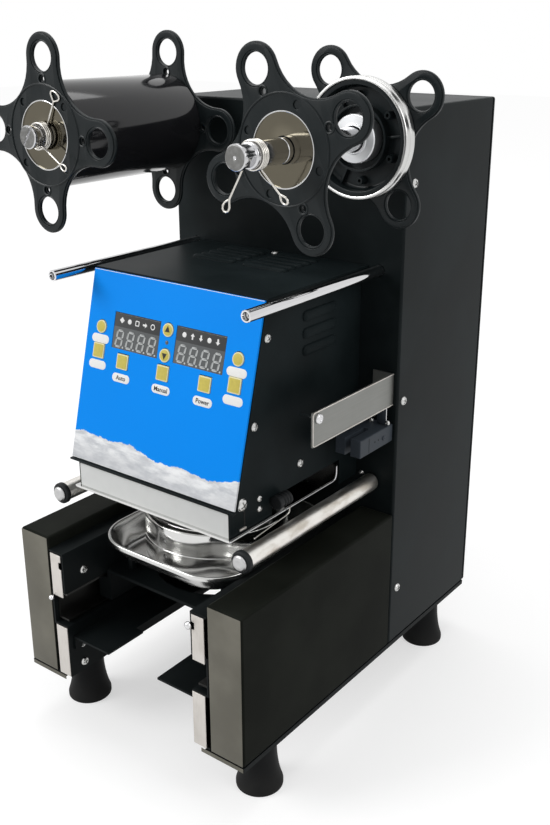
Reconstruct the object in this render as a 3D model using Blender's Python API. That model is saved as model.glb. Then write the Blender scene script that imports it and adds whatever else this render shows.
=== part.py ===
"""Automatic cup sealing machine: a counter-top film sealer built from separate pieces.

Metres, +Z up, front of the machine towards -Y. The origin is on the counter, under the middle
of the machine. Every piece is one closed solid; pieces that touch keep GAP between them.
"""
import math

import bmesh
import bpy
from mathutils import Matrix, Vector

MM = 0.001

# ---- driving dimensions -------------------------------------------------------------------
GAP = 0.3 * MM                  # between pieces that touch
SHEET = 2.0 * MM                # casing sheet
THIN_SHEET = 1.6 * MM           # brackets and guides
EDGE_RADIUS = 2.0 * MM          # folded edges of the casings
ROUND = 28                      # sides of a large round piece
SMALL_ROUND = 16                # sides of a small one
THROUGH = 10 * MM               # a cutter reaches this far past the faces it goes through
OVERLAP = 1 * MM                # pieces to be united reach this far into each other

COLUMN_SHOULDER = 42 * MM       # column past the head, each side
COLUMN_DEPTH = 156.5 * MM
COLUMN_HEIGHT = 509.7 * MM
ARM_LENGTH = 224.5 * MM
ARM_WIDTH = 36 * MM
ARM_HEIGHT = 140.8 * MM
FOOT_HEIGHT = 51 * MM
FOOT_RADIUS = 21 * MM
FOOT_TOP_RADIUS = 14.5 * MM
FOOT_INSET = 48 * MM            # foot centre from the front and back of the machine
BASE_THICKNESS = 4.6 * MM

HEAD_WIDTH = 176 * MM
HEAD_DEPTH = 186.5 * MM         # column front to the head's front lower face
HEAD_BOTTOM = 238 * MM
HEAD_TOP = 430.2 * MM
HEAD_CHIN = 25.5 * MM           # height of the upright lower face
COVER_OVERHANG = 7 * MM         # cover past the head case, each side
COVER_SHEET = 1.8 * MM
PANEL_MARGIN = 0.8 * MM         # cover past the panel, each side
PANEL_HEIGHT = 169.8 * MM
PANEL_THICKNESS = 2.0 * MM
PANEL_LEAN = math.radians(14.25)

KEY_SIDE = 13.0 * MM
KEY_RADIUS = 5.7 * MM
KEY_PROUD = 1.2 * MM
KEY_TRAVEL = 0.6 * MM
DISPLAY_WIDTH = 54 * MM
DISPLAY_HEIGHT = 31.5 * MM
DISPLAY_U = 35.9 * MM
DISPLAY_V = 120.5 * MM

CUP_REACH = 100 * MM            # cup centre from the column front when the tray is home
COLLAR_BORE = 48 * MM
COLLAR_WALL = 19.5 * MM
DISH_CLEARANCE = 6.5 * MM       # dish wall outside the collar
CARRIER_CLEARANCE = 2 * MM      # rail carrier outside the dish, and the tray's rim over it
COLLAR_HEIGHT = 42 * MM
TRAY_RIM_TOP = 190 * MM
TRAY_DEPTH = 20 * MM
TRAY_LIP = 4 * MM
TRAY_CORNER = 40 * MM
TRAY_TRAVEL = 140 * MM
TRAY_FRONT_MARGIN = 21.5 * MM   # rim in front of the collar
TRAY_BACK_MARGIN = 20.5 * MM
POST_INSET = 17 * MM            # tray post in from the dish wall
POST_REACH = 58 * MM            # tray post from the cup centre, along Y
CARRIER_TOP = 185.5 * MM
RAIL_Z = 128 * MM
RAIL_HEIGHT = 28.8 * MM
SHELF_Z = 99 * MM
SHELF_SLOT = 39 * MM            # half width of the cup slot
SHELF_THROAT = 30 * MM          # half width at its mouth

HEATER_OVERLAP = 4 * MM         # heater past the cup's bore
CUTTER_WALL = 3 * MM
PRESS_TRAVEL = 30 * MM
PRESS_LEG = 26 * MM
PRESS_BEAM = 4 * MM             # thickness
PRESS_HALF_DEPTH = 30 * MM
STEM_HEIGHT = 36 * MM           # heater to press carriage
STEM_X = 30 * MM
CARRIAGE_THICKNESS = 8 * MM
CARRIAGE_HALF_DEPTH = 16 * MM
FOLLOWER_RISE = 20 * MM         # follower over the underside of the carriage
BEAM_CLEARANCE = 10 * MM        # beam over the cam at its highest
CAM_SMALL = 22 * MM
FOLLOWER_RADIUS = 6 * MM
CAM_CLEARANCE = 1.0 * MM
ROD_RADIUS = 5 * MM
MOTOR_RADIUS = 18 * MM
MOTOR_BORE = 3.3 * MM
MOTOR_SHAFT = 3.0 * MM
PRESS_MOTOR_LENGTH = 52 * MM
TRAY_MOTOR_LENGTH = 50 * MM
TAKE_UP_MOTOR_LENGTH = 60 * MM
BRAKE_LENGTH = 22 * MM

PINION_TEETH = 20
GEAR_MODULE = 1.5 * MM
GEAR_WIDTH = 9 * MM

REEL_INSET = 21.3 * MM          # reel axis in from the column's side
REEL_DROP = 22.2 * MM           # reel axis below the column's top
REEL_SHAFT = 9.6 * MM           # radius
NECK_RADIUS = 7.2 * MM          # of the groove for the spring clip
NECK_START = 4 * MM             # from the shaft's tip
NECK_LENGTH = 11 * MM
REEL_REACH = 198 * MM           # shaft tip from the column front
FLANGE_REACH = 81 * MM          # axis to lobe tip
LOBE_RADIUS = 19 * MM
LOBE_HOLE = 11.5 * MM
FLANGE_HUB = 41 * MM
FLANGE_THICKNESS = 4 * MM
FLANGE_BOSS = 2.5 * MM          # height of the hub's raised face
CORE_RING_WALL = 3 * MM
CORE_HEIGHT = 12 * MM
TAKE_UP_FRONT_TURN = 87.7       # degrees from +X to a lobe, as each flange happens to stand
TAKE_UP_REAR_TURN = 86.6
SUPPLY_REAR_TURN = 33.8
SUPPLY_FRONT_TURN = 114.3
FLANGE_GAP = 33 * MM            # rear flange from the column front
FILM_WIDTH = 141 * MM
LOOSE_FLANGE_SHIFT = 37 * MM    # how far the right front flange stands in from the left one
DRUM_RADIUS = 43 * MM
CORE_RING_RADIUS = 48.5 * MM

UPPER_ROD_CLEARANCE = 18.5 * MM # rod centre from the head's side
UPPER_ROD_RADIUS = 5 * MM
UPPER_ROD_REACH = 185.5 * MM
ROLLER_CLEARANCE = 18 * MM      # roller centre from the head's side
ROLLER_Z = 226 * MM
ROLLER_RADIUS = 8.25 * MM
ROLLER_CAP = 9.75 * MM
ROLLER_REACH = 199 * MM
AXLE_RADIUS = 4.7 * MM

# ---- places that follow from them ---------------------------------------------------------
HEAD_HALF = HEAD_WIDTH / 2
HALF_WIDTH = HEAD_HALF + COLUMN_SHOULDER
BACK_Y = (ARM_LENGTH + COLUMN_DEPTH) / 2
FRONT_Y = -BACK_Y
COLUMN_Y = FRONT_Y + ARM_LENGTH
BASE_Z = FOOT_HEIGHT + GAP
SHELL_Z = BASE_Z + BASE_THICKNESS + GAP
COLUMN_TOP = SHELL_Z + COLUMN_HEIGHT
CASING_BACK = BACK_Y - SHEET - GAP
INSIDE_Y = COLUMN_Y + SHEET
ARM_IN = HALF_WIDTH - ARM_WIDTH
CUP_Y = COLUMN_Y - CUP_REACH
COLLAR_RADIUS = COLLAR_BORE + COLLAR_WALL
HEATER_RADIUS = COLLAR_BORE + HEATER_OVERLAP
CUTTER_RADIUS = HEATER_RADIUS + CUTTER_WALL
DISH_HALF = COLLAR_RADIUS + DISH_CLEARANCE
CARRIER_IN = DISH_HALF + CARRIER_CLEARANCE
TRAY_HALF = CARRIER_IN + CARRIER_CLEARANCE
HEAD_FRONT = COLUMN_Y - HEAD_DEPTH
COVER_WIDTH = HEAD_WIDTH + 2 * COVER_OVERHANG
PANEL_WIDTH = COVER_WIDTH - 2 * PANEL_MARGIN
UPPER_ROD_X = HEAD_HALF + UPPER_ROD_CLEARANCE
ROLLER_X = HEAD_HALF + ROLLER_CLEARANCE
AT_COLUMN = COLUMN_Y - GAP
REEL_X = HALF_WIDTH - REEL_INSET
REEL_Z = COLUMN_TOP - REEL_DROP
REEL_TIP = COLUMN_Y - REEL_REACH
REAR_FLANGE_Y = COLUMN_Y - FLANGE_GAP
FRONT_FLANGE_Y = REAR_FLANGE_Y - FILM_WIDTH - FLANGE_THICKNESS
ROLLER_TIP = COLUMN_Y - ROLLER_REACH
UPPER_ROD_Z = HEAD_TOP - 3 * MM
TRAY_FLOOR = TRAY_RIM_TOP - TRAY_DEPTH
TRAY_FRONT = CUP_Y - COLLAR_RADIUS - TRAY_FRONT_MARGIN
TRAY_BACK = CUP_Y + COLLAR_RADIUS + TRAY_BACK_MARGIN

SLOPE_UP = Vector((0, math.sin(PANEL_LEAN), math.cos(PANEL_LEAN)))
SLOPE_OUT = Vector((0, -math.cos(PANEL_LEAN), math.sin(PANEL_LEAN)))
PANEL_FOOT = Vector((0, HEAD_FRONT - 2 * MM, HEAD_BOTTOM + HEAD_CHIN + 1.1 * MM))
PANEL_FRAME = Matrix.Translation(PANEL_FOOT) @ Matrix((
    (1, 0, 0, 0),
    (0, SLOPE_UP.y, SLOPE_OUT.y, 0),
    (0, SLOPE_UP.z, SLOPE_OUT.z, 0),
    (0, 0, 0, 1)))

# ---- sizes and places used by one group ---------------------------------------------------
BASE_IN = ARM_IN - 6 * MM
BOSS_RADIUS = REEL_SHAFT + 5 * MM
BOSS_REACH = 20 * MM
BEARING_THICKNESS = 4 * MM

VENT_ROWS = 6
VENT_X = 50 * MM
VENT_Z = SHELL_Z + 120 * MM
VENT_PITCH = 14 * MM
VENT_LENGTH = 60 * MM
VENT_HEIGHT = 4 * MM

INLET_BODY = (27.4 * MM, 47 * MM)
INLET_X = -HALF_WIDTH + 50 * MM
INLET_Z = SHELL_Z + 54 * MM
INLET_DEPTH = 22 * MM
ROCKER_WIDTH = 19 * MM
ROCKER_HEIGHT = 12 * MM
ROCKER_TILT = math.radians(8)    # off, with the lower half pressed in
ROCKER_Z = INLET_Z + 13 * MM

WINDOW_FRONT = HEAD_FRONT + 55.5 * MM
WINDOW_BACK = COLUMN_Y - 30 * MM
WINDOW_TOP = HEAD_BOTTOM + 15 * MM
LOUVRE_LENGTH = 48 * MM
LOUVRE_GAP = 3.5 * MM
SIDE_LOUVRES = 3
SIDE_LOUVRE_PITCH = 15 * MM
SIDE_LOUVRE_Z = HEAD_TOP - 29 * MM
SIDE_LOUVRE_Y = COLUMN_Y - 88 * MM
TOP_LOUVRES = 5
TOP_LOUVRE_PITCH = 11 * MM
TOP_LOUVRE_X = 29 * MM
TOP_LOUVRE_Y = COLUMN_Y - 66 * MM
BOARD_DEPTH = 7.4 * MM
BOARD_HALF = 85 * MM
BOARD_LOW = 78 * MM
BOARD_HIGH = 147 * MM

HEATER_Z = HEAD_BOTTOM + 6 * MM
HEATER_THICKNESS = 20 * MM
PRESS_Z = HEATER_Z + HEATER_THICKNESS + STEM_HEIGHT
ROD_X = HEAD_HALF - 16 * MM
FOLLOWER_Z = PRESS_Z + FOLLOWER_RISE
CAM_Z = FOLLOWER_Z + FOLLOWER_RADIUS + CAM_CLEARANCE + CAM_SMALL
CAM_X = -2 * MM
CAM_THICKNESS = 10 * MM
CAM_STEPS = 36
BRACKET_X = -8 * MM
BEAM_Z = CAM_Z + CAM_SMALL + PRESS_TRAVEL + BEAM_CLEARANCE

PLATE_Z = 146 * MM
PITCH_RADIUS = PINION_TEETH * GEAR_MODULE / 2
RACK_X = -CARRIER_IN + 11 * MM
RACK_PITCH_Z = 132.5 * MM
RACK_TIP_Z = RACK_PITCH_Z - GEAR_MODULE * 0.95
PINION_Z = RACK_PITCH_Z - PITCH_RADIUS - 0.2 * MM
PINION_Y = COLUMN_Y - 24 * MM

GUIDE_X = HALF_WIDTH - 4.7 * MM
GUIDE_LENGTH = 125 * MM
GUIDE_HEIGHT = 30 * MM
GUIDE_Z = 306 * MM
SENSOR_X = HALF_WIDTH - 4 * MM
SENSOR_WIDTH = SENSOR_X - HEAD_HALF - 11.5 * MM
SENSOR_LENGTH = 54 * MM
SENSOR_HEIGHT = 16.5 * MM
SENSOR_Z = 271.5 * MM

KEYS = {                        # name: (across, up the panel, round)
    "key_left_round": (-77 * MM, 121 * MM, True),
    "key_left_square": (-77 * MM, 99.8 * MM, False),
    "key_auto": (-47.2 * MM, 95 * MM, False),
    "key_manual": (0, 94.5 * MM, False),
    "key_power": (46.5 * MM, 94.5 * MM, False),
    "key_right_square": (77 * MM, 99.8 * MM, False),
    "key_right_round": (77 * MM, 121 * MM, True),
    "key_up": (0, 131 * MM, True),
    "key_down": (0, 109.5 * MM, True),
}


# ---- materials ----------------------------------------------------------------------------
def material(name, colour, roughness=0.5, metallic=0.0):
    finish = bpy.data.materials.new(name)
    finish.use_nodes = True
    shader = finish.node_tree.nodes["Principled BSDF"]
    shader.inputs["Base Color"].default_value = (*colour, 1)
    shader.inputs["Roughness"].default_value = roughness
    shader.inputs["Metallic"].default_value = metallic
    finish.diffuse_color = (*colour, 1)
    return finish


def make_materials():
    return {
        "black_paint": material("black_paint", (0.012, 0.013, 0.014), 0.45),
        "black_plastic": material("black_plastic", (0.01, 0.01, 0.011), 0.3),
        "rubber": material("rubber", (0.015, 0.015, 0.016), 0.6),
        "stainless": material("stainless", (0.62, 0.62, 0.62), 0.2, 1),
        "steel": material("steel", (0.5, 0.5, 0.5), 0.3, 1),
        "aluminium": material("aluminium", (0.6, 0.6, 0.6), 0.45, 1),
        "blue_panel": material("blue_panel", (0.0, 0.28, 0.85), 0.35),
        "key_yellow": material("key_yellow", (0.62, 0.5, 0.12), 0.5),
        "board": material("board", (0.02, 0.1, 0.05), 0.5),
        "sensor_grey": material("sensor_grey", (0.06, 0.065, 0.07), 0.5),
    }


# ---- modelling helpers --------------------------------------------------------------------
def clear_scene():
    for item in list(bpy.data.objects):
        bpy.data.objects.remove(item, do_unlink=True)


def add_object(name, shape, finish=None):
    mesh = bpy.data.meshes.new(name)
    bmesh.ops.recalc_face_normals(shape, faces=shape.faces)
    shape.to_mesh(mesh)
    shape.free()
    piece = bpy.data.objects.new(name, mesh)
    bpy.context.scene.collection.objects.link(piece)
    if finish:
        mesh.materials.append(finish)
    return piece


def box(name, low, high, finish=None, edge=0.0):
    """A block between two corners, its edges rounded by edge."""
    shape = bmesh.new()
    bmesh.ops.create_cube(shape, size=1)
    low, high = Vector(low), Vector(high)
    bmesh.ops.scale(shape, vec=high - low, verts=shape.verts)
    bmesh.ops.translate(shape, vec=(low + high) / 2, verts=shape.verts)
    if edge:
        bmesh.ops.bevel(shape, geom=list(shape.edges), offset=edge, segments=2, affect="EDGES",
                        profile=0.5)
    return add_object(name, shape, finish)


def prism(name, outline, axis, start, end, finish=None):
    """An outline drawn across an axis ("X", "Y" or "Z") and pulled along it."""
    shape = bmesh.new()
    place = {
        "X": lambda a, b: (start, a, b),
        "Y": lambda a, b: (a, start, b),
        "Z": lambda a, b: (a, b, start),
    }[axis]
    ring = [shape.verts.new(place(a, b)) for a, b in outline]
    face = shape.faces.new(ring)
    pulled = bmesh.ops.extrude_face_region(shape, geom=[face])
    moved = [item for item in pulled["geom"] if isinstance(item, bmesh.types.BMVert)]
    along = {"X": (1, 0, 0), "Y": (0, 1, 0), "Z": (0, 0, 1)}[axis]
    bmesh.ops.translate(shape, vec=Vector(along) * (end - start), verts=moved)
    return add_object(name, shape, finish)


def turned(name, profile, axis, centre, steps=ROUND, finish=None):
    """A closed profile of (radius, distance along the axis) points turned round that axis."""
    shape = bmesh.new()
    verts = [shape.verts.new((radius, 0, along)) for radius, along in profile]
    edges = [shape.edges.new((verts[i], verts[(i + 1) % len(verts)])) for i in range(len(verts))]
    bmesh.ops.spin(shape, geom=verts + edges, cent=(0, 0, 0), axis=(0, 0, 1),
                   angle=2 * math.pi, steps=steps, use_merge=True)
    bmesh.ops.remove_doubles(shape, verts=shape.verts, dist=1e-6)
    bmesh.ops.dissolve_degenerate(shape, edges=shape.edges, dist=1e-7)
    turn = {
        "Z": Matrix.Identity(4),
        "Y": Matrix.Rotation(-math.pi / 2, 4, "X"),
        "X": Matrix.Rotation(math.pi / 2, 4, "Y"),
    }[axis]
    bmesh.ops.transform(shape, matrix=Matrix.Translation(Vector(centre)) @ turn,
                        verts=shape.verts)
    piece = add_object(name, shape, finish)
    piece.data.shade_smooth()
    piece.data.set_sharp_from_angle(angle=math.radians(35))
    return piece


def rod(name, radius, start, end, axis, centre, steps=SMALL_ROUND, finish=None):
    """A plain round bar; centre gives the two coordinates across the axis and 0 along it."""
    shape = bmesh.new()
    bmesh.ops.create_cone(shape, cap_ends=True, segments=steps, radius1=radius, radius2=radius,
                          depth=end - start)
    bmesh.ops.translate(shape, vec=(0, 0, (start + end) / 2), verts=shape.verts)
    turn = {
        "Z": Matrix.Identity(4),
        "Y": Matrix.Rotation(-math.pi / 2, 4, "X"),
        "X": Matrix.Rotation(math.pi / 2, 4, "Y"),
    }[axis]
    bmesh.ops.transform(shape, matrix=Matrix.Translation(Vector(centre)) @ turn,
                        verts=shape.verts)
    piece = add_object(name, shape, finish)
    piece.data.shade_smooth()
    piece.data.set_sharp_from_angle(angle=math.radians(35))
    return piece


def combine(piece, tools, operation):
    """Cut or join with the tools, which are used up."""
    for tool in tools:
        step = piece.modifiers.new("combine", "BOOLEAN")
        step.operation = operation
        step.solver = "EXACT"
        step.object = tool
    bpy.context.view_layer.update()
    graph = bpy.context.evaluated_depsgraph_get()
    result = bpy.data.meshes.new_from_object(piece.evaluated_get(graph))
    piece.modifiers.clear()
    piece.data = result
    for tool in tools:
        bpy.data.objects.remove(tool, do_unlink=True)
    return piece


def cut(piece, *tools):
    return combine(piece, tools, "DIFFERENCE")


def unite(piece, *others):
    return combine(piece, others, "UNION")


def hang_on(piece, pivot):
    """Put the piece's origin on its joint."""
    pivot = Vector(pivot)
    piece.data.transform(Matrix.Translation(-pivot))
    piece.location = pivot
    return piece


def arc(centre, radius, start, end, steps):
    """Points of an arc in degrees, both ends included."""
    points = []
    for i in range(steps + 1):
        angle = math.radians(start + (end - start) * i / steps)
        points.append((centre[0] + radius * math.cos(angle),
                       centre[1] + radius * math.sin(angle)))
    return points


def rounded_outline(left, right, low, high, radius, steps=5):
    """A rectangle with round corners, anticlockwise."""
    return (arc((right - radius, low + radius), radius, -90, 0, steps)
            + arc((right - radius, high - radius), radius, 0, 90, steps)
            + arc((left + radius, high - radius), radius, 90, 180, steps)
            + arc((left + radius, low + radius), radius, 180, 270, steps))


def folded(points, thickness):
    """Outline of a folded sheet: the points, and the same line set off to its left."""
    count = len(points)
    normals = []
    for i in range(count - 1):
        dx = points[i + 1][0] - points[i][0]
        dy = points[i + 1][1] - points[i][1]
        length = math.hypot(dx, dy)
        normals.append((-dy / length, dx / length))
    inner = []
    for i in range(count):
        before = normals[max(i - 1, 0)]
        after = normals[min(i, count - 2)]
        nx, ny = before[0] + after[0], before[1] + after[1]
        scale = thickness * 2 / (nx * nx + ny * ny)
        inner.append((points[i][0] + nx * scale, points[i][1] + ny * scale))
    return list(points) + inner[::-1]


def mirrored(outline, side):
    return [(side * a, b) for a, b in outline]


def span(side, near, far):
    """Low and high x of something between two distances from the middle, on one side."""
    return (near, far) if side > 0 else (-far, -near)


# ---- column, base and feet ----------------------------------------------------------------
def make_column(mats):
    casing = box("column_casing", (-HALF_WIDTH, COLUMN_Y, SHELL_Z),
                 (HALF_WIDTH, CASING_BACK, COLUMN_TOP), mats["black_paint"], EDGE_RADIUS)
    hollow = box("hollow", (-HALF_WIDTH + SHEET, INSIDE_Y, SHELL_Z - THROUGH),
                 (HALF_WIDTH - SHEET, BACK_Y + THROUGH, COLUMN_TOP - SHEET))
    tools = [hollow]
    through = (COLUMN_Y - THROUGH, INSIDE_Y + THROUGH)
    for side in (-1, 1):
        for radius, x, z in ((BOSS_RADIUS, REEL_X, REEL_Z),
                             (UPPER_ROD_RADIUS, UPPER_ROD_X, UPPER_ROD_Z),
                             (AXLE_RADIUS, ROLLER_X, ROLLER_Z)):
            tools.append(rod("bore", radius + GAP, *through, "Y", (side * x, 0, z)))
    tools.append(rod("cable_hole", 9 * MM, *through, "Y", (0, 0, HEAD_TOP - 40 * MM)))
    slot_z = (RACK_TIP_Z - 3 * MM, PLATE_Z + 3 * MM)
    tools.append(box("rack_slot", (RACK_X - GEAR_WIDTH / 2 - 3 * MM, through[0], slot_z[0]),
                     (RACK_X + GEAR_WIDTH / 2 + 3 * MM, through[1], slot_z[1])))
    cut(casing, *tools)

    cover = prism("rear_cover", rounded_outline(-HALF_WIDTH, HALF_WIDTH, SHELL_Z, COLUMN_TOP,
                                                EDGE_RADIUS, 2),
                  "Y", BACK_Y - SHEET, BACK_Y, mats["black_paint"])
    tools = []
    for column in (-1, 1):
        for row in range(VENT_ROWS):
            z = VENT_Z + row * VENT_PITCH
            x = column * VENT_X
            tools.append(box("vent", (x - VENT_LENGTH / 2, BACK_Y - THROUGH, z),
                             (x + VENT_LENGTH / 2, BACK_Y + THROUGH, z + VENT_HEIGHT)))
    tools.append(box("inlet_hole", (INLET_X - INLET_BODY[0] / 2 - GAP, BACK_Y - THROUGH,
                                    INLET_Z - INLET_BODY[1] / 2 - GAP),
                     (INLET_X + INLET_BODY[0] / 2 + GAP, BACK_Y + THROUGH,
                      INLET_Z + INLET_BODY[1] / 2 + GAP)))
    cut(cover, *tools)

    outline = [(-HALF_WIDTH, FRONT_Y), (-BASE_IN, FRONT_Y), (-BASE_IN, COLUMN_Y),
               (BASE_IN, COLUMN_Y), (BASE_IN, FRONT_Y), (HALF_WIDTH, FRONT_Y),
               (HALF_WIDTH, CASING_BACK), (-HALF_WIDTH, CASING_BACK)]
    prism("base_frame", outline, "Z", BASE_Z, BASE_Z + BASE_THICKNESS, mats["black_paint"])


def make_feet(mats):
    waist = FOOT_HEIGHT * 0.55
    profile = [(0, 0), (FOOT_RADIUS - 1.5 * MM, 0), (FOOT_RADIUS, 2 * MM),
               (FOOT_RADIUS, 6 * MM), (FOOT_TOP_RADIUS + 2 * MM, waist),
               (FOOT_TOP_RADIUS, waist + 8 * MM), (FOOT_TOP_RADIUS, FOOT_HEIGHT),
               (0, FOOT_HEIGHT)]
    x = HALF_WIDTH - FOOT_RADIUS - 1 * MM
    for row, y in (("front", FRONT_Y + FOOT_INSET), ("rear", BACK_Y - FOOT_INSET)):
        for word, side in (("left", -1), ("right", 1)):
            turned(f"foot_{row}_{word}", profile, "Z", (side * x, y, 0), 20, mats["rubber"])


# ---- arms, rails and shelf ----------------------------------------------------------------
def make_arm(word, side, mats):
    low, high = span(side, ARM_IN, HALF_WIDTH)
    arm = box(f"arm_{word}", (low, FRONT_Y, SHELL_Z), (high, AT_COLUMN, SHELL_Z + ARM_HEIGHT),
              mats["black_paint"], EDGE_RADIUS)
    cut(arm, box("hollow", (low + SHEET, FRONT_Y + SHEET, SHELL_Z + SHEET),
                 (high - SHEET, COLUMN_Y + THROUGH, SHELL_Z + ARM_HEIGHT - SHEET)))

    back = ARM_IN - GAP
    web = back - THIN_SHEET
    groove = RAIL_HEIGHT / 2 + 1 * MM + THIN_SHEET
    line = [(back, CARRIER_TOP), (CARRIER_IN, CARRIER_TOP), (CARRIER_IN, RAIL_Z + groove),
            (web, RAIL_Z + groove), (web, RAIL_Z - groove), (CARRIER_IN, RAIL_Z - groove),
            (CARRIER_IN, SHELL_Z + 1 * MM), (back, SHELL_Z + 1 * MM)]
    outline = mirrored(folded(line, THIN_SHEET), side)
    prism(f"rail_carrier_{word}", outline, "Y", FRONT_Y, AT_COLUMN, mats["black_paint"])

    rail_back = web - GAP
    high_z = RAIL_Z + RAIL_HEIGHT / 2
    low_z = RAIL_Z - RAIL_HEIGHT / 2
    line = [(CARRIER_IN + 3 * MM, high_z), (rail_back, high_z), (rail_back, low_z),
            (CARRIER_IN + 3 * MM, low_z)]
    outline = mirrored(folded(line[::-1], SHEET), side)
    prism(f"guide_rail_{word}", outline, "Y", FRONT_Y + 4.5 * MM, AT_COLUMN, mats["steel"])


def make_shelf(mats):
    half = CARRIER_IN - GAP
    front = FRONT_Y + 5.5 * MM
    depth = 14 * MM
    line = [(half, SHELF_Z - depth), (half, SHELF_Z), (-half, SHELF_Z), (-half, SHELF_Z - depth)]
    shelf = prism("base_shelf", folded(line, SHEET), "Y", front, AT_COLUMN, mats["black_paint"])
    throat_back = CUP_Y - 75 * MM
    slot = [(-SHELF_THROAT, front - THROUGH), (SHELF_THROAT, front - THROUGH),
            (SHELF_THROAT, throat_back), (SHELF_SLOT, throat_back)]
    slot += arc((0, CUP_Y), SHELF_SLOT, 0, 180, 14)
    slot += [(-SHELF_SLOT, throat_back), (-SHELF_THROAT, throat_back)]
    cut(shelf, prism("slot", slot, "Z", SHELF_Z - THROUGH / 2, SHELF_Z + THROUGH / 2))


# ---- head ---------------------------------------------------------------------------------
def behind_panel(depth, along):
    """A (y, z) point at a depth behind the panel's face and a distance up it."""
    point = PANEL_FOOT + SLOPE_UP * along - SLOPE_OUT * depth
    return point.y, point.z


def slope_at(depth, z):
    """y of the plane that lies a depth behind the panel's face, at height z."""
    y, z_start = behind_panel(depth, 0)
    return y + (z - z_start) * math.tan(PANEL_LEAN)


def make_head(mats):
    skin = PANEL_THICKNESS + GAP
    case_depth = skin + COVER_SHEET + GAP
    case_top = HEAD_TOP - COVER_SHEET - GAP
    chin_z = HEAD_BOTTOM + HEAD_CHIN - 1 * MM
    outline = [(HEAD_FRONT, HEAD_BOTTOM), (WINDOW_FRONT, HEAD_BOTTOM),
               (WINDOW_FRONT, WINDOW_TOP - 3 * MM), (WINDOW_FRONT + 3 * MM, WINDOW_TOP),
               (WINDOW_BACK, WINDOW_TOP), (WINDOW_BACK, HEAD_BOTTOM - 10 * MM),
               (AT_COLUMN, HEAD_BOTTOM - 10 * MM), (AT_COLUMN, case_top),
               (slope_at(case_depth, case_top), case_top), (slope_at(case_depth, chin_z), chin_z),
               (HEAD_FRONT, chin_z)]
    case = prism("head_case", outline, "X", -HEAD_HALF, HEAD_HALF, mats["black_paint"])
    tools = [box("hollow", (-HEAD_HALF + SHEET, HEAD_FRONT + SHEET, HEAD_BOTTOM - 2 * THROUGH),
                 (HEAD_HALF - SHEET, COLUMN_Y + THROUGH, HEAD_TOP + THROUGH))]
    for row in range(SIDE_LOUVRES):
        z = SIDE_LOUVRE_Z - row * SIDE_LOUVRE_PITCH
        tools.append(box("louvre", (-HEAD_HALF - THROUGH, SIDE_LOUVRE_Y, z),
                         (HEAD_HALF + THROUGH, SIDE_LOUVRE_Y + LOUVRE_LENGTH, z + LOUVRE_GAP)))
    cut(case, *tools)

    top_front = slope_at(skin, HEAD_TOP)
    line = [behind_panel(skin, 0), (top_front, HEAD_TOP), (AT_COLUMN, HEAD_TOP)]
    cover = prism("head_cover", folded(line[::-1], COVER_SHEET), "X",
                  -COVER_WIDTH / 2, COVER_WIDTH / 2, mats["black_paint"])
    tools = []
    for group in (-1, 1):
        for row in range(TOP_LOUVRES):
            x = group * TOP_LOUVRE_X
            y = TOP_LOUVRE_Y + row * TOP_LOUVRE_PITCH
            tools.append(box("louvre", (x - LOUVRE_LENGTH / 2, y, HEAD_TOP - THROUGH),
                             (x + LOUVRE_LENGTH / 2, y + LOUVRE_GAP, HEAD_TOP + THROUGH)))
    opening = box("opening", (-BOARD_HALF - 1 * MM, BOARD_LOW + 6 * MM, -12 * MM),
                  (BOARD_HALF + 1 * MM, BOARD_HIGH - 6 * MM, 0))
    opening.data.transform(PANEL_FRAME)
    tools.append(opening)
    cut(cover, *tools)


def panel_piece(name, low, high, finish=None, edge=0.0):
    """A block given in panel coordinates: across, up, out."""
    piece = box(name, low, high, finish, edge)
    piece.data.transform(PANEL_FRAME)
    return piece


def key_shape(name, u, v, is_round, low, high, grow=0.0, finish=None):
    if is_round:
        piece = rod(name, KEY_RADIUS + grow, low, high, "Z", (u, v, 0), SMALL_ROUND, finish)
    else:
        half = KEY_SIDE / 2 + grow
        piece = box(name, (u - half, v - half, low), (u + half, v + half, high), finish)
    piece.data.transform(PANEL_FRAME)
    return piece


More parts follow.
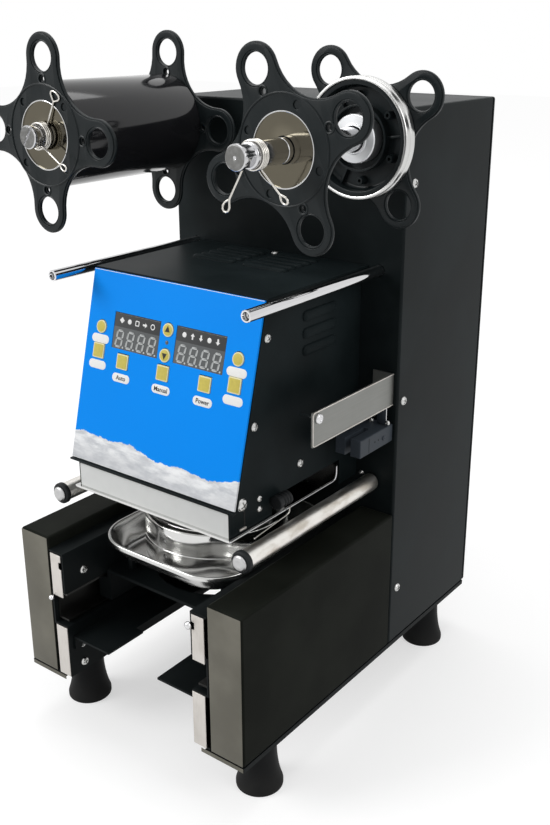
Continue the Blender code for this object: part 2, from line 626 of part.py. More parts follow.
def make_panel(mats):
    panel = panel_piece("control_panel", (-PANEL_WIDTH / 2, 0, -PANEL_THICKNESS),
                        (PANEL_WIDTH / 2, PANEL_HEIGHT, 0), mats["blue_panel"])
    tools = []
    for side in (-1, 1):
        tools.append(panel_piece("window",
                                 (side * DISPLAY_U - DISPLAY_WIDTH / 2,
                                  DISPLAY_V - DISPLAY_HEIGHT / 2, -THROUGH),
                                 (side * DISPLAY_U + DISPLAY_WIDTH / 2,
                                  DISPLAY_V + DISPLAY_HEIGHT / 2, THROUGH)))
    for u, v, is_round in KEYS.values():
        tools.append(key_shape("key_hole", u, v, is_round, -THROUGH, THROUGH, GAP))
    cut(panel, *tools)

    board_face = -BOARD_DEPTH
    board = panel_piece("display_board", (-BOARD_HALF, BOARD_LOW, board_face - THIN_SHEET),
                        (BOARD_HALF, BOARD_HIGH, board_face), mats["board"])
    parts = []
    for side in (-1, 1):
        parts.append(panel_piece("display",
                                 (side * DISPLAY_U - DISPLAY_WIDTH / 2 + GAP,
                                  DISPLAY_V - DISPLAY_HEIGHT / 2 + GAP, board_face - 0.5 * MM),
                                 (side * DISPLAY_U + DISPLAY_WIDTH / 2 - GAP,
                                  DISPLAY_V + DISPLAY_HEIGHT / 2 - GAP, -0.5 * MM)))
        for v in (BOARD_LOW + 3 * MM, BOARD_HIGH - 3 * MM):
            u = side * (BOARD_HALF - 12 * MM)
            reach = -(PANEL_THICKNESS + GAP + COVER_SHEET + GAP)
            parts.append(panel_piece("standoff", (u - 2.5 * MM, v - 2.5 * MM,
                                                  board_face - 0.5 * MM),
                                     (u + 2.5 * MM, v + 2.5 * MM, reach)))
    switch_top = -PANEL_THICKNESS - 1 * MM - KEY_TRAVEL - GAP
    for u, v, is_round in KEYS.values():
        parts.append(panel_piece("switch", (u - 3 * MM, v - 3 * MM, board_face - 0.5 * MM),
                                 (u + 3 * MM, v + 3 * MM, switch_top)))
    unite(board, *parts)

    for name, (u, v, is_round) in KEYS.items():
        key = key_shape(name, u, v, is_round, -PANEL_THICKNESS - 1 * MM, KEY_PROUD, 0,
                        mats["key_yellow"])
        hang_on(key, PANEL_FRAME @ Vector((u, v, 0)))


# ---- film plate and sealing press ---------------------------------------------------------
def make_film_plate(mats):
    half = HEAD_HALF + 2 * MM
    top = HEAD_BOTTOM - GAP
    back = WINDOW_BACK - 8 * MM
    line = [(HEAD_FRONT - 3.5 * MM, top), (back, top), (back, WINDOW_TOP - 2 * MM)]
    plate = prism("film_plate", folded(line[::-1], SHEET), "X", -half, half,
                  mats["stainless"])
    cut(plate, rod("opening", CUTTER_RADIUS + 2 * MM, top - THROUGH, top + 2 * THROUGH, "Z",
                   (0, CUP_Y, 0), ROUND))


def cam_outline():
    """Heart cam: its radius grows evenly over half a turn and comes back the same way."""
    points = []
    for i in range(CAM_STEPS):
        turn = i / CAM_STEPS
        share = 1 - abs(1 - 2 * turn)
        radius = CAM_SMALL + PRESS_TRAVEL * share
        angle = 2 * math.pi * turn - math.pi / 2
        points.append((CUP_Y + radius * math.cos(angle), CAM_Z + radius * math.sin(angle)))
    return points


def make_press(mats):
    half = HEAD_HALF - SHEET - GAP
    depth = (CUP_Y - PRESS_HALF_DEPTH, CUP_Y + PRESS_HALF_DEPTH)
    line = [(half, BEAM_Z - PRESS_LEG), (half, BEAM_Z), (-half, BEAM_Z),
            (-half, BEAM_Z - PRESS_LEG)]
    frame = prism("press_frame", folded(line, PRESS_BEAM), "Y", *depth, mats["steel"])
    parts = []
    for side in (-1, 1):
        parts.append(rod("lift_rod", ROD_RADIUS, HEAD_BOTTOM + GAP, BEAM_Z - OVERLAP, "Z",
                         (side * ROD_X, CUP_Y, 0)))
    parts.append(box("motor_bracket", (BRACKET_X, CUP_Y - 22 * MM, CAM_Z - 22 * MM),
                     (BRACKET_X + 3 * MM, CUP_Y + 22 * MM, BEAM_Z - OVERLAP)))
    unite(frame, *parts)
    cut(frame, rod("shaft_hole", MOTOR_SHAFT + 1 * MM, BRACKET_X - THROUGH, BRACKET_X + THROUGH,
                   "X", (0, CUP_Y, CAM_Z)))

    face = BRACKET_X - GAP
    back = face - PRESS_MOTOR_LENGTH
    profile = [(0, back), (MOTOR_RADIUS, back), (MOTOR_RADIUS, face), (MOTOR_BORE, face),
               (MOTOR_BORE, face - 14 * MM), (0, face - 14 * MM)]
    turned("press_motor", profile, "X", (0, CUP_Y, CAM_Z), 20, mats["steel"])

    cam = prism("press_cam", cam_outline(), "X", CAM_X, CAM_X + CAM_THICKNESS, mats["steel"])
    unite(cam, rod("shaft", MOTOR_SHAFT, face - 12 * MM, CAM_X + OVERLAP, "X",
                   (0, CUP_Y, CAM_Z)))
    hang_on(cam, (0, CUP_Y, CAM_Z))

    plate_half = HEAD_HALF - SHEET - 3 * MM
    carriage = box("press_carriage", (-plate_half, CUP_Y - CARRIAGE_HALF_DEPTH, PRESS_Z),
                   (plate_half, CUP_Y + CARRIAGE_HALF_DEPTH, PRESS_Z + CARRIAGE_THICKNESS),
                   mats["aluminium"])
    post = [(CUP_Y - FOLLOWER_RADIUS, PRESS_Z + 4 * MM), (CUP_Y + FOLLOWER_RADIUS,
                                                           PRESS_Z + 4 * MM)]
    post += arc((CUP_Y, FOLLOWER_Z), FOLLOWER_RADIUS, 0, 180, 8)
    parts = [prism("follower", post, "X", CAM_X + 1 * MM, CAM_X + CAM_THICKNESS - 1 * MM)]
    for side in (-1, 1):
        parts.append(rod("stem", 5 * MM, HEATER_Z + HEATER_THICKNESS + GAP, PRESS_Z + 4 * MM,
                         "Z", (side * STEM_X, CUP_Y, 0), 12))
    unite(carriage, *parts)
    cut(carriage, *[rod("bore", ROD_RADIUS + GAP, PRESS_Z - THROUGH, PRESS_Z + 2 * THROUGH, "Z",
                        (side * ROD_X, CUP_Y, 0)) for side in (-1, 1)])
    hang_on(carriage, (0, CUP_Y, PRESS_Z))

    top = HEATER_Z + HEATER_THICKNESS
    profile = [(0, HEATER_Z), (HEATER_RADIUS - 1 * MM, HEATER_Z),
               (HEATER_RADIUS, HEATER_Z + 1 * MM), (HEATER_RADIUS, top), (0, top)]
    heater = turned("heater_plate", profile, "Z", (0, CUP_Y, 0), ROUND, mats["aluminium"])
    hang_on(heater, (0, CUP_Y, HEATER_Z))
    inner = HEATER_RADIUS + GAP
    profile = [(inner, HEATER_Z + 1 * MM), (CUTTER_RADIUS - 1 * MM, HEATER_Z - 1 * MM),
               (CUTTER_RADIUS, HEATER_Z - 1 * MM), (CUTTER_RADIUS, top - 2 * MM),
               (inner, top - 2 * MM)]
    cutter = turned("cutter_ring", profile, "Z", (0, CUP_Y, 0), ROUND, mats["steel"])
    hang_on(cutter, (0, CUP_Y, HEATER_Z))


# ---- cup tray -----------------------------------------------------------------------------
def make_tray(mats):
    home = (0, CUP_Y, TRAY_FLOOR)
    rim_low = TRAY_RIM_TOP - TRAY_LIP
    inset = TRAY_HALF - DISH_HALF
    rim = rounded_outline(-TRAY_HALF, TRAY_HALF, TRAY_FRONT, TRAY_BACK, TRAY_CORNER, 5)
    dish = rounded_outline(-DISH_HALF, DISH_HALF, TRAY_FRONT + inset, TRAY_BACK - inset,
                           TRAY_CORNER - inset, 5)
    wall = THIN_SHEET
    inside = rounded_outline(-DISH_HALF + wall, DISH_HALF - wall, TRAY_FRONT + inset + wall,
                             TRAY_BACK - inset - wall, TRAY_CORNER - inset - wall, 5)
    tray = prism("cup_tray", rim, "Z", rim_low, TRAY_RIM_TOP, mats["stainless"])
    unite(tray, prism("dish", dish, "Z", TRAY_FLOOR - wall, rim_low + OVERLAP))
    cut(tray, prism("inside", inside, "Z", TRAY_FLOOR, TRAY_RIM_TOP + THROUGH),
        rod("cup_hole", COLLAR_BORE + 4 * MM, TRAY_FLOOR - THROUGH, TRAY_FLOOR + THROUGH, "Z",
            (0, CUP_Y, 0), ROUND))
    hang_on(tray, home)

    low = TRAY_FLOOR + GAP
    top = low + COLLAR_HEIGHT - GAP
    mid = (low + top) / 2
    profile = [(COLLAR_BORE + 6 * MM, low), (COLLAR_RADIUS, low), (COLLAR_RADIUS, top - 1 * MM),
               (COLLAR_RADIUS - 1 * MM, top), (COLLAR_BORE + 10 * MM, top),
               (COLLAR_BORE + 8 * MM, top - 3 * MM), (COLLAR_BORE, top - 3 * MM),
               (COLLAR_BORE, mid), (COLLAR_BORE + 6 * MM, mid)]
    collar = turned("cup_collar", profile, "Z", (0, CUP_Y, 0), 32, mats["stainless"])
    hang_on(collar, home)

    make_carriage(mats)
    make_pinion(mats)


def tooth(centre, base, tip, root):
    """One rack tooth pointing down, as an outline in y and z."""
    return [(centre - base / 2, root), (centre - base * 0.22, tip),
            (centre + base * 0.22, tip), (centre + base / 2, root)]


def make_carriage(mats):
    web_out = CARRIER_IN - GAP - 1 * MM
    web_in = web_out - 4 * MM
    run_out = ARM_IN - GAP - 2 * THIN_SHEET - SHEET - 2 * MM
    low = RAIL_Z - RAIL_HEIGHT / 2 + SHEET + 1 * MM
    high = RAIL_Z + RAIL_HEIGHT / 2 - SHEET - 1 * MM
    plate_top = PLATE_Z + 3 * MM
    outline = [(web_in, low), (run_out, low), (run_out, high), (web_out, high),
               (web_out, plate_top), (-web_out, plate_top), (-web_out, high),
               (-run_out, high), (-run_out, low), (-web_in, low), (-web_in, PLATE_Z),
               (web_in, PLATE_Z)]
    carriage = prism("tray_carriage", outline, "Y", CUP_Y - 74 * MM, CUP_Y + 76 * MM,
                     mats["black_paint"])
    cut(carriage, rod("cup_hole", COLLAR_BORE + 12 * MM, PLATE_Z - THROUGH, PLATE_Z + THROUGH,
                      "Z", (0, CUP_Y, 0), ROUND))
    parts = []
    for side in (-1, 1):
        for end in (-1, 1):
            parts.append(rod("post", 4 * MM, PLATE_Z + OVERLAP, TRAY_FLOOR - THIN_SHEET - GAP,
                             "Z", (side * (DISH_HALF - POST_INSET), CUP_Y + end * POST_REACH, 0),
                             8))
    pitch = math.pi * GEAR_MODULE
    start = PINION_Y - math.floor((PINION_Y - CUP_Y) / pitch) * pitch
    count = math.floor((PINION_Y + TRAY_TRAVEL + 6 * MM - start) / pitch)
    body_z = RACK_PITCH_Z + GEAR_MODULE * 1.25
    rack = [(start - pitch / 2, PLATE_Z + OVERLAP), (start - pitch / 2, body_z)]
    for i in range(count + 1):
        rack += tooth(start + i * pitch, pitch * 0.74, RACK_TIP_Z, body_z)
    end = start + (count + 0.5) * pitch
    rack += [(end, body_z), (end, PLATE_Z + OVERLAP)]
    half = GEAR_WIDTH / 2
    parts.append(prism("rack", rack, "X", RACK_X - half, RACK_X + half))
    parts.append(box("rack_tie", (-web_in - 1 * MM, start - pitch / 2, body_z + 2 * MM),
                     (RACK_X, CUP_Y + 76 * MM, PLATE_Z + OVERLAP)))
    unite(carriage, *parts)
    hang_on(carriage, (0, CUP_Y, PLATE_Z))


def make_pinion(mats):
    """The wheel stands with a tooth gap straight up, where a rack tooth points down."""
    outline = []
    radius = PITCH_RADIUS
    root = radius - GEAR_MODULE * 1.25
    tip = radius + GEAR_MODULE * 0.95
    step = 2 * math.pi / PINION_TEETH
    for i in range(PINION_TEETH):
        middle = math.pi / 2 + (i + 0.5) * step
        for share, reach in ((-0.3, root), (-0.1, tip), (0.1, tip), (0.3, root)):
            angle = middle + share * step
            outline.append((PINION_Y + reach * math.cos(angle),
                            PINION_Z + reach * math.sin(angle)))
    half = GEAR_WIDTH / 2
    face = RACK_X + half + 2 * MM
    pinion = prism("tray_pinion", outline, "X", RACK_X - half, RACK_X + half, mats["steel"])
    unite(pinion, rod("shaft", MOTOR_SHAFT, RACK_X, face + 12 * MM, "X",
                      (0, PINION_Y, PINION_Z), 12))
    hang_on(pinion, (RACK_X, PINION_Y, PINION_Z))

    radius = PINION_Z - SHELF_Z - 1 * MM
    end = face + TRAY_MOTOR_LENGTH
    profile = [(0, face + 14 * MM), (MOTOR_BORE, face + 14 * MM), (MOTOR_BORE, face),
               (radius, face), (radius, end), (0, end)]
    motor = turned("tray_motor", profile, "X", (0, PINION_Y, PINION_Z), 20, mats["steel"])
    unite(motor, box("motor_foot", (face + 16 * MM, PINION_Y - 13 * MM, SHELF_Z + GAP),
                     (end - 3 * MM, PINION_Y + 13 * MM, PINION_Z - radius * 0.6)))


# ---- reels --------------------------------------------------------------------------------
def flange_outline(turn):
    """Four-lobed star: round lobes joined by hollow curves that touch the hub."""
    centre = FLANGE_REACH - LOBE_RADIUS
    points = []
    for lobe in range(4):
        aim = turn + 90 * lobe
        middle = (centre * math.cos(math.radians(aim)), centre * math.sin(math.radians(aim)))
        points += arc(middle, LOBE_RADIUS, aim - 105, aim + 105, 8)
        corner = math.radians(aim + 45)
        waist = FLANGE_HUB + 2 * MM
        for bend in (-13, 0, 13):
            angle = corner + math.radians(bend)
            reach = waist + (1.2 * MM if bend else 0)
            points.append((reach * math.cos(angle), reach * math.sin(angle)))
    return points


def make_flange(name, x, y, turn, boss_side, boss_radius, boss_height, mats):
    """A star flange; turn is the lobes' angle from +X, the boss stands on one side of it."""
    shift = [(x + a, REEL_Z + b) for a, b in flange_outline(turn)]
    flange = prism(name, shift, "Y", y - FLANGE_THICKNESS / 2, y + FLANGE_THICKNESS / 2,
                   mats["black_plastic"])
    face = y + boss_side * FLANGE_THICKNESS / 2
    ends = sorted((face - boss_side * OVERLAP, face + boss_side * boss_height))
    unite(flange, rod("boss", boss_radius, *ends, "Y", (x, 0, REEL_Z), ROUND))
    reach = FLANGE_REACH - LOBE_RADIUS
    tools = [rod("bore", REEL_SHAFT + GAP, y - 3 * THROUGH, y + 3 * THROUGH, "Y", (x, 0, REEL_Z))]
    for lobe in range(4):
        aim = math.radians(turn + 90 * lobe)
        place = (x + reach * math.cos(aim), 0, REEL_Z + reach * math.sin(aim))
        tools.append(rod("finger_hole", LOBE_HOLE, y - THROUGH, y + THROUGH, "Y", place, 12))
    return cut(flange, *tools)


def make_reels(mats):
    motor_front = INSIDE_Y + BEARING_THICKNESS + 2 * GAP
    for word, side in (("left", -1), ("right", 1)):
        x = side * REEL_X
        pivot = (x, REAR_FLANGE_Y, REEL_Z)
        end = motor_front + 12 * MM
        profile = [(0, REEL_TIP), (REEL_SHAFT - 1 * MM, REEL_TIP), (REEL_SHAFT, REEL_TIP + 1 * MM),
                   (REEL_SHAFT, REEL_TIP + NECK_START), (NECK_RADIUS, REEL_TIP + NECK_START),
                   (NECK_RADIUS, REEL_TIP + NECK_START + NECK_LENGTH),
                   (REEL_SHAFT, REEL_TIP + NECK_START + NECK_LENGTH), (REEL_SHAFT, end), (0, end)]
        shaft = turned(f"reel_shaft_{word}", profile, "Y", (x, 0, REEL_Z), 20, mats["stainless"])
        hang_on(shaft, pivot)

    x = -REEL_X
    for word, y, turn, side in (("rear", REAR_FLANGE_Y, TAKE_UP_REAR_TURN, -1),
                                ("front", FRONT_FLANGE_Y, TAKE_UP_FRONT_TURN, 1)):
        flange = make_flange(f"take_up_{word}_flange", x, y, turn, side, FLANGE_HUB,
                             FLANGE_BOSS, mats)
        hang_on(flange, (x, y, REEL_Z))
    half = FLANGE_THICKNESS / 2 + GAP
    front, back = FRONT_FLANGE_Y + half, REAR_FLANGE_Y - half
    profile = [(FLANGE_HUB + GAP, front), (DRUM_RADIUS, front), (DRUM_RADIUS, back),
               (FLANGE_HUB + GAP, back)]
    drum = turned("take_up_drum", profile, "Y", (x, 0, REEL_Z), 36, mats["black_plastic"])
    hang_on(drum, (x, REAR_FLANGE_Y, REEL_Z))

    x = REEL_X
    rear = make_flange("supply_rear_flange", x, REAR_FLANGE_Y, SUPPLY_REAR_TURN, -1,
                       CORE_RING_RADIUS - CORE_RING_WALL, CORE_HEIGHT, mats)
    face = REAR_FLANGE_Y - FLANGE_THICKNESS / 2
    profile = [(20 * MM, face - 20 * MM), (CORE_RING_RADIUS - 6 * MM, face - 20 * MM),
               (CORE_RING_RADIUS - 6 * MM, face - 1 * MM), (20 * MM, face - 1 * MM)]
    cut(rear, turned("dish", profile, "Y", (x, 0, REEL_Z)))
    hang_on(rear, (x, REAR_FLANGE_Y, REEL_Z))
    inner = CORE_RING_RADIUS - CORE_RING_WALL + GAP
    ring_front = face - CORE_HEIGHT - 1 * MM
    profile = [(inner, ring_front), (CORE_RING_RADIUS, ring_front),
               (CORE_RING_RADIUS, face - GAP), (inner, face - GAP)]
    ring = turned("supply_core_ring", profile, "Y", (x, 0, REEL_Z), 32, mats["aluminium"])
    hang_on(ring, (x, REAR_FLANGE_Y, REEL_Z))
    y = FRONT_FLANGE_Y + LOOSE_FLANGE_SHIFT
    loose = make_flange("supply_front_flange", x, y, SUPPLY_FRONT_TURN, 1, FLANGE_HUB,
                        FLANGE_BOSS, mats)
    hang_on(loose, (x, y, REEL_Z))

    low, high = REEL_Z - 19 * MM, COLUMN_TOP - SHEET - 1 * MM
    reach = HALF_WIDTH - SHEET - 1 * MM
    plate = box("bearing_plate", (-reach, INSIDE_Y + GAP, low),
                (reach, INSIDE_Y + GAP + BEARING_THICKNESS, high), mats["steel"])
    bosses = []
    bores = []
    for side in (-1, 1):
        place = (side * REEL_X, 0, REEL_Z)
        bosses.append(rod("boss", BOSS_RADIUS, COLUMN_Y - BOSS_REACH, INSIDE_Y + 2 * MM, "Y",
                          place, 20))
        bores.append(rod("bore", REEL_SHAFT + GAP, COLUMN_Y - 3 * THROUGH, INSIDE_Y + THROUGH, "Y",
                         place))
    cut(unite(plate, *bosses), *bores)

    for word, side, length in (("take_up_motor", -1, TAKE_UP_MOTOR_LENGTH),
                               ("supply_brake", 1, BRAKE_LENGTH)):
        profile = [(0, motor_front + 14 * MM), (REEL_SHAFT + GAP, motor_front + 14 * MM),
                   (REEL_SHAFT + GAP, motor_front), (MOTOR_RADIUS, motor_front),
                   (MOTOR_RADIUS, motor_front + length), (0, motor_front + length)]
        turned(word, profile, "Y", (side * REEL_X, 0, REEL_Z), 20, mats["steel"])


# ---- film path ----------------------------------------------------------------------------
def make_film_path(mats):
    nut = (INSIDE_Y + GAP, INSIDE_Y + 5 * MM)
    for word, side in (("left", -1), ("right", 1)):
        tip = COLUMN_Y - UPPER_ROD_REACH
        tail = nut[1] + 4 * MM
        r = UPPER_ROD_RADIUS
        profile = [(0, tip + 10 * MM), (r - 1.3 * MM, tip + 10 * MM), (r - 1.3 * MM, tip),
                   (r - 0.4 * MM, tip), (r, tip + 0.6 * MM), (r, nut[0]), (r + 3 * MM, nut[0]),
                   (r + 3 * MM, nut[1]), (r, nut[1]), (r, tail), (0, tail)]
        turned(f"upper_guide_rod_{word}", profile, "Y", (side * UPPER_ROD_X, 0, UPPER_ROD_Z), 20,
               mats["stainless"])

        tip = ROLLER_TIP
        bore = AXLE_RADIUS + GAP
        profile = [(bore, tip + 3 * MM), (ROLLER_CAP, tip + 3 * MM), (ROLLER_CAP, tip + 8 * MM),
                   (ROLLER_RADIUS, tip + 8 * MM), (ROLLER_RADIUS, COLUMN_Y - 3 * MM),
                   (bore, COLUMN_Y - 3 * MM)]
        roller = turned(f"lower_roller_{word}", profile, "Y", (side * ROLLER_X, 0, ROLLER_Z), 24,
                        mats["aluminium"])
        hang_on(roller, (side * ROLLER_X, COLUMN_Y, ROLLER_Z))
        head = AXLE_RADIUS + 2.3 * MM
        profile = [(0, tip), (head - 1 * MM, tip), (head, tip + 1 * MM),
                   (head, tip + 3 * MM - GAP), (AXLE_RADIUS, tip + 3 * MM - GAP),
                   (AXLE_RADIUS, nut[0]), (head + 1 * MM, nut[0]), (head + 1 * MM, nut[1]),
                   (0, nut[1])]
        turned(f"roller_axle_{word}", profile, "Y", (side * ROLLER_X, 0, ROLLER_Z), 20,
               mats["steel"])

    out = GUIDE_X
    line = [(out - 21 * MM, AT_COLUMN), (out, AT_COLUMN), (out, COLUMN_Y - GUIDE_LENGTH)]
    prism("film_guide_plate", folded(line[::-1], THIN_SHEET), "Z", GUIDE_Z,
          GUIDE_Z + GUIDE_HEIGHT, mats["aluminium"])
    sensor = box("film_sensor", (SENSOR_X - SENSOR_WIDTH, COLUMN_Y - SENSOR_LENGTH, SENSOR_Z),
                 (SENSOR_X, AT_COLUMN, SENSOR_Z + SENSOR_HEIGHT), mats["sensor_grey"], 0.8 * MM)
    middle = SENSOR_X - SENSOR_WIDTH / 2
    cut(sensor, box("film_slot", (middle - 3 * MM, COLUMN_Y - SENSOR_LENGTH - THROUGH,
                                  SENSOR_Z - THROUGH),
                    (middle + 3 * MM, COLUMN_Y - SENSOR_LENGTH + 30 * MM,
                     SENSOR_Z + SENSOR_HEIGHT + THROUGH)))


# ---- mains ------------------------------------------------------------------------------
def make_mains(mats):
    """Appliance inlet with a rocker switch above it, snapped into the rear cover."""
    w, h = INLET_BODY
    face = BACK_Y + GAP
    proud = face + 1.6 * MM
    module = box("mains_inlet", (INLET_X - w / 2 - 2.5 * MM, face, INLET_Z - h / 2 - 2.5 * MM),
                 (INLET_X + w / 2 + 2.5 * MM, proud, INLET_Z + h / 2 + 2.5 * MM),
                 mats["black_plastic"])
    unite(module, box("body", (INLET_X - w / 2, BACK_Y - INLET_DEPTH, INLET_Z - h / 2),
                      (INLET_X + w / 2, face + 0.8 * MM, INLET_Z + h / 2)))
    socket_z = INLET_Z - h / 4
    cut(module, box("socket", (INLET_X - 11.5 * MM, proud - 17 * MM, socket_z - 7.5 * MM),
                    (INLET_X + 11.5 * MM, proud + THROUGH, socket_z + 7.5 * MM)),
        box("rocker_well", (INLET_X - ROCKER_WIDTH / 2 - GAP, proud - 12 * MM,
                            ROCKER_Z - ROCKER_HEIGHT / 2 - 1 * MM),
            (INLET_X + ROCKER_WIDTH / 2 + GAP, proud + THROUGH,
             ROCKER_Z + ROCKER_HEIGHT / 2 + 1 * MM)))
    unite(module, *[box("pin", (INLET_X + dx - 1 * MM, proud - 18 * MM, socket_z + dz - 2 * MM),
                        (INLET_X + dx + 1 * MM, proud - 3 * MM, socket_z + dz + 2 * MM))
                    for dx, dz in ((-7 * MM, -1.5 * MM), (7 * MM, -1.5 * MM), (0, 2.5 * MM))])
    half = ROCKER_HEIGHT / 2
    dip = 2.6 * MM
    depth = 7 * MM
    outline = [(proud - depth, ROCKER_Z - 3 * MM), (proud - dip, ROCKER_Z - half),
               (proud + 0.6 * MM, ROCKER_Z - half), (proud - 1 * MM, ROCKER_Z),
               (proud + 0.6 * MM, ROCKER_Z + half), (proud - dip, ROCKER_Z + half),
               (proud - depth, ROCKER_Z + 3 * MM)]
    rocker = prism("power_rocker", outline, "X", INLET_X - ROCKER_WIDTH / 2,
                   INLET_X + ROCKER_WIDTH / 2, mats["black_plastic"])
    hang_on(rocker, (INLET_X, proud - depth / 2, ROCKER_Z))
    rocker.data.transform(Matrix.Rotation(-ROCKER_TILT, 4, "X"))


def main():
    clear_scene()
    mats = make_materials()
    make_column(mats)
    make_feet(mats)
    for word, side in (("left", -1), ("right", 1)):
        make_arm(word, side, mats)
    make_shelf(mats)
    make_head(mats)
    make_panel(mats)
    make_film_plate(mats)
    make_press(mats)
    make_tray(mats)
    make_reels(mats)
    make_film_path(mats)
    make_mains(mats)


main()
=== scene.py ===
# %% [markdown]
# # A counter-top cup sealing machine
#
# A cup sealer welds a film lid onto a drink cup. A tray carries the cup in under a
# head, film runs from one reel over the head to the other, and a heated plate comes
# down, seals the rim and cuts the film round it.
# The sizes and the moving bodies come from a CAD model, so this script only adds what
# CAD leaves plain: round edges, screws, springs, printed keys, and the way each
# surface takes the light.

# %% The fixed frame
import math

import bmesh
import bpy
from mathutils import Matrix, Vector


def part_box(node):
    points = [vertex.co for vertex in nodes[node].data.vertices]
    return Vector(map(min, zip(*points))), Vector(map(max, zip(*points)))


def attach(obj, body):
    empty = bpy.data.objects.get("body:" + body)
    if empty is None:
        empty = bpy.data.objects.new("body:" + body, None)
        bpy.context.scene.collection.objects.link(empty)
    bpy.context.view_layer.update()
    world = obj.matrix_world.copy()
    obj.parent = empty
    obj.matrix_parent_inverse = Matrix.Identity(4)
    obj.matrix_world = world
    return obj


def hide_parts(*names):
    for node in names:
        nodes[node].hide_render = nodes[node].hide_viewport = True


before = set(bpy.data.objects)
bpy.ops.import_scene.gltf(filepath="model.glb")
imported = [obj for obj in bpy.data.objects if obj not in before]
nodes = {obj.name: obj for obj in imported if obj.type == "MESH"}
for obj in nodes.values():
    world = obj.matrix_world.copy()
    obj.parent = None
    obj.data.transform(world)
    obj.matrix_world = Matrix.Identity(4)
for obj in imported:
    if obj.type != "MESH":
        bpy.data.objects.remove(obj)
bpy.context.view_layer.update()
MM = 0.001
SIDES = (("left", -1), ("right", 1))

# %% [markdown]
# ## Where the shapes get their places
#
# A few planes and axes of the machine are needed again and again: the side of the
# head, the axis of each reel, the slope of the panel. They are measured once on the
# CAD nodes, so a change in the CAD moves everything that is built on it.

# %% Planes and axes
column_low, column_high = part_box("column_casing")
head_low, head_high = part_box("head_case")
arm_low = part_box("arm_right")[0]
carrier_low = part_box("rail_carrier_right")[0]
panel_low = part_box("control_panel")[0]
shaft_low, shaft_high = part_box("reel_shaft_right")
tray_low, tray_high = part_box("cup_tray")
collar_low, collar_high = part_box("cup_collar")

reel_x = (shaft_low.x + shaft_high.x) / 2
reel_z = (shaft_low.z + shaft_high.z) / 2
cup_y = (collar_low.y + collar_high.y) / 2
lean = math.radians(14.25)   # of the panel, back from upright
panel_up = Vector((0, math.sin(lean), math.cos(lean)))
panel_out = Vector((0, -math.cos(lean), math.sin(lean)))
panel_foot = Vector((0, head_low.y - 2 * MM, panel_low.z))
panel_frame = Matrix.Translation(panel_foot) @ Matrix((
    (1, 0, 0, 0), (0, panel_up.y, panel_out.y, 0), (0, panel_up.z, panel_out.z, 0), (0, 0, 0, 1)))
print("reel axis, mm:", round(reel_x / MM, 1), round(reel_z / MM, 1))
print("cup centre y, mm:", round(cup_y / MM, 1))

# %% [markdown]
# ## Camera
#
# The machine is seen from its right front and from above its head, with the camera
# level. A 36 mm frame and a lens of about 45 mm, from one step away, bring the upright
# edges a little closer together towards their feet. The shift only slides the
# picture, so the edges keep their angles.

# %% Camera
CAMERA_TURN, CAMERA_DIP = math.radians(36.92), math.radians(19.83)
bpy.ops.object.camera_add(location=(0.570, -0.719, 0.634),
                          rotation=(math.pi / 2 - CAMERA_DIP, 0, CAMERA_TURN))
camera = bpy.context.object
camera.data.sensor_width = 36
camera.data.lens = 44.9
camera.data.shift_x, camera.data.shift_y = -0.0131, -0.0276
camera.data.clip_start, camera.data.clip_end = 0.02, 20
bpy.context.scene.camera = camera
camera_away = (camera.location - Vector((0, 0, 0.3))).length
print("camera stands", round(camera_away, 2), "m from the machine")

# %% [markdown]
# ## A shorter way to write shader maths
#
# A finish is a graph of nodes. Wiring each Math node by hand hides the idea, so a
# small class wraps a node's output and turns `a * b + 1` into Math nodes. The second
# class is one finish: it makes any node from its type, its settings and its inputs.

# %% Flow: an output that can be added, multiplied and compared
class Flow:
    """One output of a node. Sums with it add Math nodes to the same tree."""

    def __init__(self, finish, socket):
        self.finish, self.socket = finish, socket

    def maths(self, operation, *values):
        return self.finish.node("ShaderNodeMath", {"operation": operation}, dict(enumerate(values)))

    def __add__(self, other): return self.maths("ADD", self, other)
    def __radd__(self, other): return self.maths("ADD", other, self)
    def __sub__(self, other): return self.maths("SUBTRACT", self, other)
    def __rsub__(self, other): return self.maths("SUBTRACT", other, self)
    def __mul__(self, other): return self.maths("MULTIPLY", self, other)
    def __rmul__(self, other): return self.maths("MULTIPLY", other, self)
    def __truediv__(self, other): return self.maths("DIVIDE", self, other)
    def sine(self): return self.maths("SINE", self)
    def smaller(self, other): return self.maths("MINIMUM", self, other)

    def between(self, low, high):
        """0 at low, 1 at high, smooth in between and held outside."""
        return self.finish.node("ShaderNodeMapRange", {"interpolation_type": "SMOOTHSTEP"},
                                {"Value": self, "From Min": low, "From Max": high})


